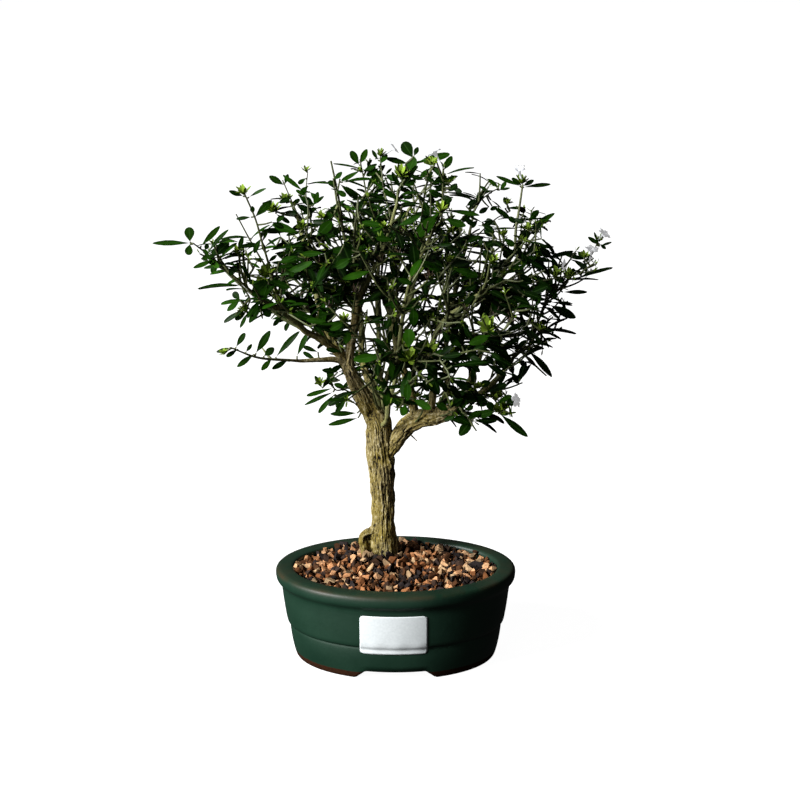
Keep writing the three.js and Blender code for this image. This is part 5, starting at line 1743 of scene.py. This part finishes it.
def leafMaterial():
    paint = Paint("glossyLeaf")
    # the tone carries painted shade deep in the crown and painted light on its left side, besides a random
    # spread
    old = paint.ramp(paint.attribute("tone"), (0, (0.0014, 0.006, 0.0003)), (0.4, (0.004, 0.019, 0.0006)),
                     (0.8, (0.010, 0.042, 0.0013)), (1, (0.015, 0.056, 0.0025)))
    under = paint.math("MULTIPLY", paint.attribute("under"), 0.3)
    old = paint.mix(under, old, (0.008, 0.022, 0.004))
    colour = paint.mix(paint.attribute("young"), old, (0.19, 0.29, 0.03))
    cloud = paint.ramp(paint.noise(220, 3), (0.3, 0.7), (0.7, 1.1))
    colour = paint.mix(1.0, colour, cloud, "MULTIPLY")
    rib = paint.math("MULTIPLY", paint.ramp(paint.attribute("across"), (0.0, 1), (0.16, 0)), 0.4)
    return paint.finish(paint.mix(rib, colour, (0.03, 0.075, 0.014)), 0.38, Specular_IOR_Level=0.03)


def leafShape(index, material):
    # a unit leaf along +X on a short stalk, widest past its middle, folded a little and arched
    rng = np.random.RandomState(500 + index)
    widest, blunt = rng.uniform(0.56, 0.68), rng.uniform(0.55, 0.9)
    arch = rng.uniform(0.01, 0.07) if index < leafCut["flat"] else rng.uniform(0.1, 0.32)
    fold, twist = rng.uniform(0.1, 0.42), rng.uniform(-0.35, 0.35)
    stations = leafCut["stations"]
    points, across = [(0, 0, 0)], [0.0]
    for along in stations:
        if along < widest:
            half = 0.5 * math.sin(math.pi / 2 * along / widest) ** 1.35
        else:
            half = 0.5 * math.cos(math.pi / 2 * (along - widest) / (1.02 - widest)) ** blunt
        half = max(half, 0.05)
        z = -arch * along**1.7 + arch * 0.35 * math.sin(math.pi * along)
        for side in (-1, 0, 1):
            lift = 0.18 * fold * half * abs(side) + twist * along * half * side * 0.3
            points.append((along, side * half, z + lift))
            across.append(abs(side))
    tip = len(points)
    points.append((1, 0, -arch))
    across.append(0.6)
    keels = list(range(tip + 1, tip + 1 + len(stations)))
    for x, _, z in points[2:tip:3]:
        points.append((x, 0, z - leafCut["thickness"]))
        across.append(0.0)
    faces, under = [], []
    for k in range(len(stations) - 1):
        a, b = 1 + 3 * k, 4 + 3 * k
        faces += [(a, a + 1, b + 1, b), (a + 1, a + 2, b + 2, b + 1)]
        faces += [(a, b, keels[k + 1], keels[k]), (a + 2, keels[k], keels[k + 1], b + 2)]
        under += [0, 0, 1, 1]
    end = 1 + 3 * (len(stations) - 1)
    faces += [(0, 2, 1), (0, 3, 2), (0, 1, keels[0]), (0, keels[0], 3)]
    faces += [(tip, end, end + 1), (tip, end + 1, end + 2), (tip, keels[-1], end), (tip, end + 2, keels[-1])]
    under += [0, 0, 1, 1] * 2
    faces = [face[::-1] for face in faces]
    piece = meshObject("leaf_%02d" % index, points, faces, material, {"across": across})
    turnOutwards(piece.data)
    layer = piece.data.attributes.new("under", "FLOAT", "FACE")
    layer.data.foreach_set("value", np.array(under, np.float32))
    sharp = piece.data.attributes.new("sharp_edge", "BOOLEAN", "EDGE")
    rim = {i for i, value in enumerate(across) if value > 0.5}
    sharp.data.foreach_set("value", [e.vertices[0] in rim and e.vertices[1] in rim for e in piece.data.edges])
    return piece


def stemSweep(material):
    sweep = NodeTree("stemSweep", [
        ("Sides", "Int", 7),
        ("Knuckle", "Float", 0.3),
        ("Paler", "Float", 0.0),
    ])
    entry = sweep.entry
    radius = sweep.add("GeometryNodeInputRadius")
    place = sweep.add("GeometryNodeInputPosition")
    swell = sweep.add("ShaderNodeTexNoise", Vector=place, Scale=260.0, Detail=1.0)
    swollen = sweep.math("MULTIPLY_ADD", swell.outputs["Fac"], entry["Knuckle"], 0.9)
    thick = sweep.math("MULTIPLY_ADD", radius, 1 / mm, entry["Paler"])
    marked = sweep.store(entry["Geometry"], "thick", thick, "POINT")
    section = sweep.add("GeometryNodeCurvePrimitiveCircle", Resolution=entry["Sides"], Radius=1.0)
    swept = sweep.add("GeometryNodeCurveToMesh", Curve=marked, Profile_Curve=section, Fill_Caps=True,
                      Scale=sweep.math("MULTIPLY", radius, swollen))
    sweep.close(sweep.add("GeometryNodeSetShadeSmooth", Geometry=swept), material)
    return sweep


def makeStems(crown):
    sweep = stemSweep(stemMaterial())
    made = {}
    for bough in [*boughs, "trunk"]:
        curve = bpy.data.curves.new("stemLines", "CURVE")
        curve.dimensions = "3D"
        for line, radii, owner in crown.lines:
            if owner == bough and radii is not None:
                spline = curve.splines.new("POLY")
                spline.points.add(len(line) - 1)
                spline.points.foreach_set("co", np.c_[line * mm, np.ones(len(line))].ravel())
                spline.points.foreach_set("radius", radii * mm)
        made[bough] = grow(linked("stemLines", curve), sweep, {
            "Sides": shoots["sides"],
            "Knuckle": shoots["knuckle"],
            "Paler": shoots["paler"] if bough in bark["paleBoughs"] else 0.0,
        }, "stems_" + bough)
    return made


def leafTree(material):
    clothe = NodeTree("leavesOnShoots", [("Leaf Shapes", "Collection", None)])
    turn = clothe.add("FunctionNodeEulerToRotation", Euler=clothe.read("turn", "FLOAT_VECTOR"))
    shape, size = clothe.read("shape", "INT"), clothe.read("size", "FLOAT_VECTOR")
    placed = clothe.onPoints(clothe.entry["Geometry"], clothe.entry["Leaf Shapes"], Instance_Index=shape,
                             Rotation=turn, Scale=size)
    clothe.close(placed, material)
    return clothe


def makeLeaves(crown, stems):
    material = leafMaterial()
    shapes = shapeCollection("leafShapes", [leafShape(i, material) for i in range(leafCut["shapes"])])
    clothe = leafTree(material)
    for bough, stem in stems.items():
        mine = [leaf for leaf in crown.leaves if leaf[6] == bough]
        mesh = bpy.data.meshes.new("leafSpots")
        mesh.from_pydata([tuple(leaf[0] * mm) for leaf in mine], [], [])
        for key, kind, values in (
            ("turn", "FLOAT_VECTOR", [tuple(leaf[1]) for leaf in mine]),
            ("size", "FLOAT_VECTOR", [tuple(s * mm for s in leaf[2]) for leaf in mine]),
            ("shape", "INT", [leaf[3] for leaf in mine]),
            ("tone", "FLOAT", [leaf[4] for leaf in mine]),
            ("young", "FLOAT", [leaf[5] for leaf in mine]),
        ):
            layer = mesh.attributes.new(key, kind, "POINT")
            layer.data.foreach_set("vector" if kind == "FLOAT_VECTOR" else "value", np.array(values).ravel())
        leaves = grow(linked("leafSpots", mesh), clothe, {"Leaf Shapes": shapes}, "leaves_" + bough)
        nodes = ["spray_" + name for name, spray in sprays.items() if spray[0] == bough]
        finishPiece(stem, nodes)
        finishPiece(leaves, nodes)
    dropCollection(shapes)


# flowers, in mm

# the spray each flower stands on, which of its tips, the way it faces, and the length of its tube
flowerPlaces = [
    ("far_right_tip", 1, (0.55, -0.3, 0.8), 6.5),
    ("far_right_tip", 0, (0.15, -0.3, 1), 9.5),
    ("far_right_up", 0, (1, -0.4, 0.15), 6.5),
    ("right_tall_tip", 0, (-0.3, -0.4, 1.1), 11.5),
    ("right_low", 0, (0.8, -0.55, 0.35), 13),
    ("centre_tip", 0, (-0.5, 0.25, 0.85), 11),
    ("back_stems_right", 0, (0.75, 0, 0.6), 11),
]
flowerCut = {
    "stalk": 0.2,  # from the shoot's tip to the foot of the tube
    "lobes": 5,
    "frill": 0.08,
    "thickness": 0.12,
    "around": 40,
    # radius, and height as a share of the tube's length
    "rings": [(0.25, 0), (0.6, 0.2), (0.7, 0.6), (1.0, 0.86), (1.9, 0.97), (3.3, 1.03), (4.9, 1.0)],
}


def petalMaterial():
    paint = Paint("whitePetal")
    colour = paint.ramp(paint.noise(500, 3), (0.4, (0.24, 0.25, 0.28)), (0.6, (0.60, 0.62, 0.64)))
    # painted glow: the petals give off a little light of their own, so they stay white in shade
    return paint.finish(colour, 0.6, Emission_Color=(1, 1, 1), Emission_Strength=0.3)


def flowerPoint(angle, radius, level, number, tube):
    lobe = abs(math.cos(angle * flowerCut["lobes"] / 2))
    frill = flowerCut["frill"] * math.cos(angle * flowerCut["lobes"] * 3)
    opened = max(0, radius - 1.4) / 3.5
    reach = radius * (1 - opened * 0.5 * (1 - lobe**0.7) + opened * frill)
    lift = level * tube + opened * (0.8 * frill * 3 + 0.25 * math.sin(angle * 5 + number))
    return Vector((reach * math.cos(angle), reach * math.sin(angle), lift))


def makeFlowers():
    points, faces, around = [], [], flowerCut["around"]
    for number, (spray, twig, facing, tube) in enumerate(flowerPlaces):
        tips = [sprays[spray][3], *sprays[spray][4]]
        turn = Vector(facing).to_track_quat("Z", "Y").to_matrix()
        place = Vector(tips[twig]) + Vector(facing).normalized() * flowerCut["stalk"]
        start = len(points)
        for radius, level in flowerCut["rings"]:
            points += [place + turn @ flowerPoint(2 * math.pi * k / around, radius, level, number, tube)
                       for k in range(around)]
        for a in range(start, len(points) - around, around):
            faces += band(a, a + around, around)
        faces.append(lid(start, around)[::-1])
    piece = meshObject("flowers", [p * mm for p in points], faces, petalMaterial())
    thick = piece.modifiers.new("petal", "SOLIDIFY")
    thick.thickness = flowerCut["thickness"] * mm
    applyModifiers(piece)
    finishPiece(piece, ["flower_%d" % (i + 1) for i in range(len(flowerPlaces))])


# the whole bonsai

addCamera()
addStudio()
makePot()
makeLabel()
makeDrainNets()
makeSoil()
makeGravel()
wood = barkMaterial()
makeTrunk(wood)
makeBoughs(wood)
crown = growCrown()
makeLeaves(crown, makeStems(crown))
makeFlowers()
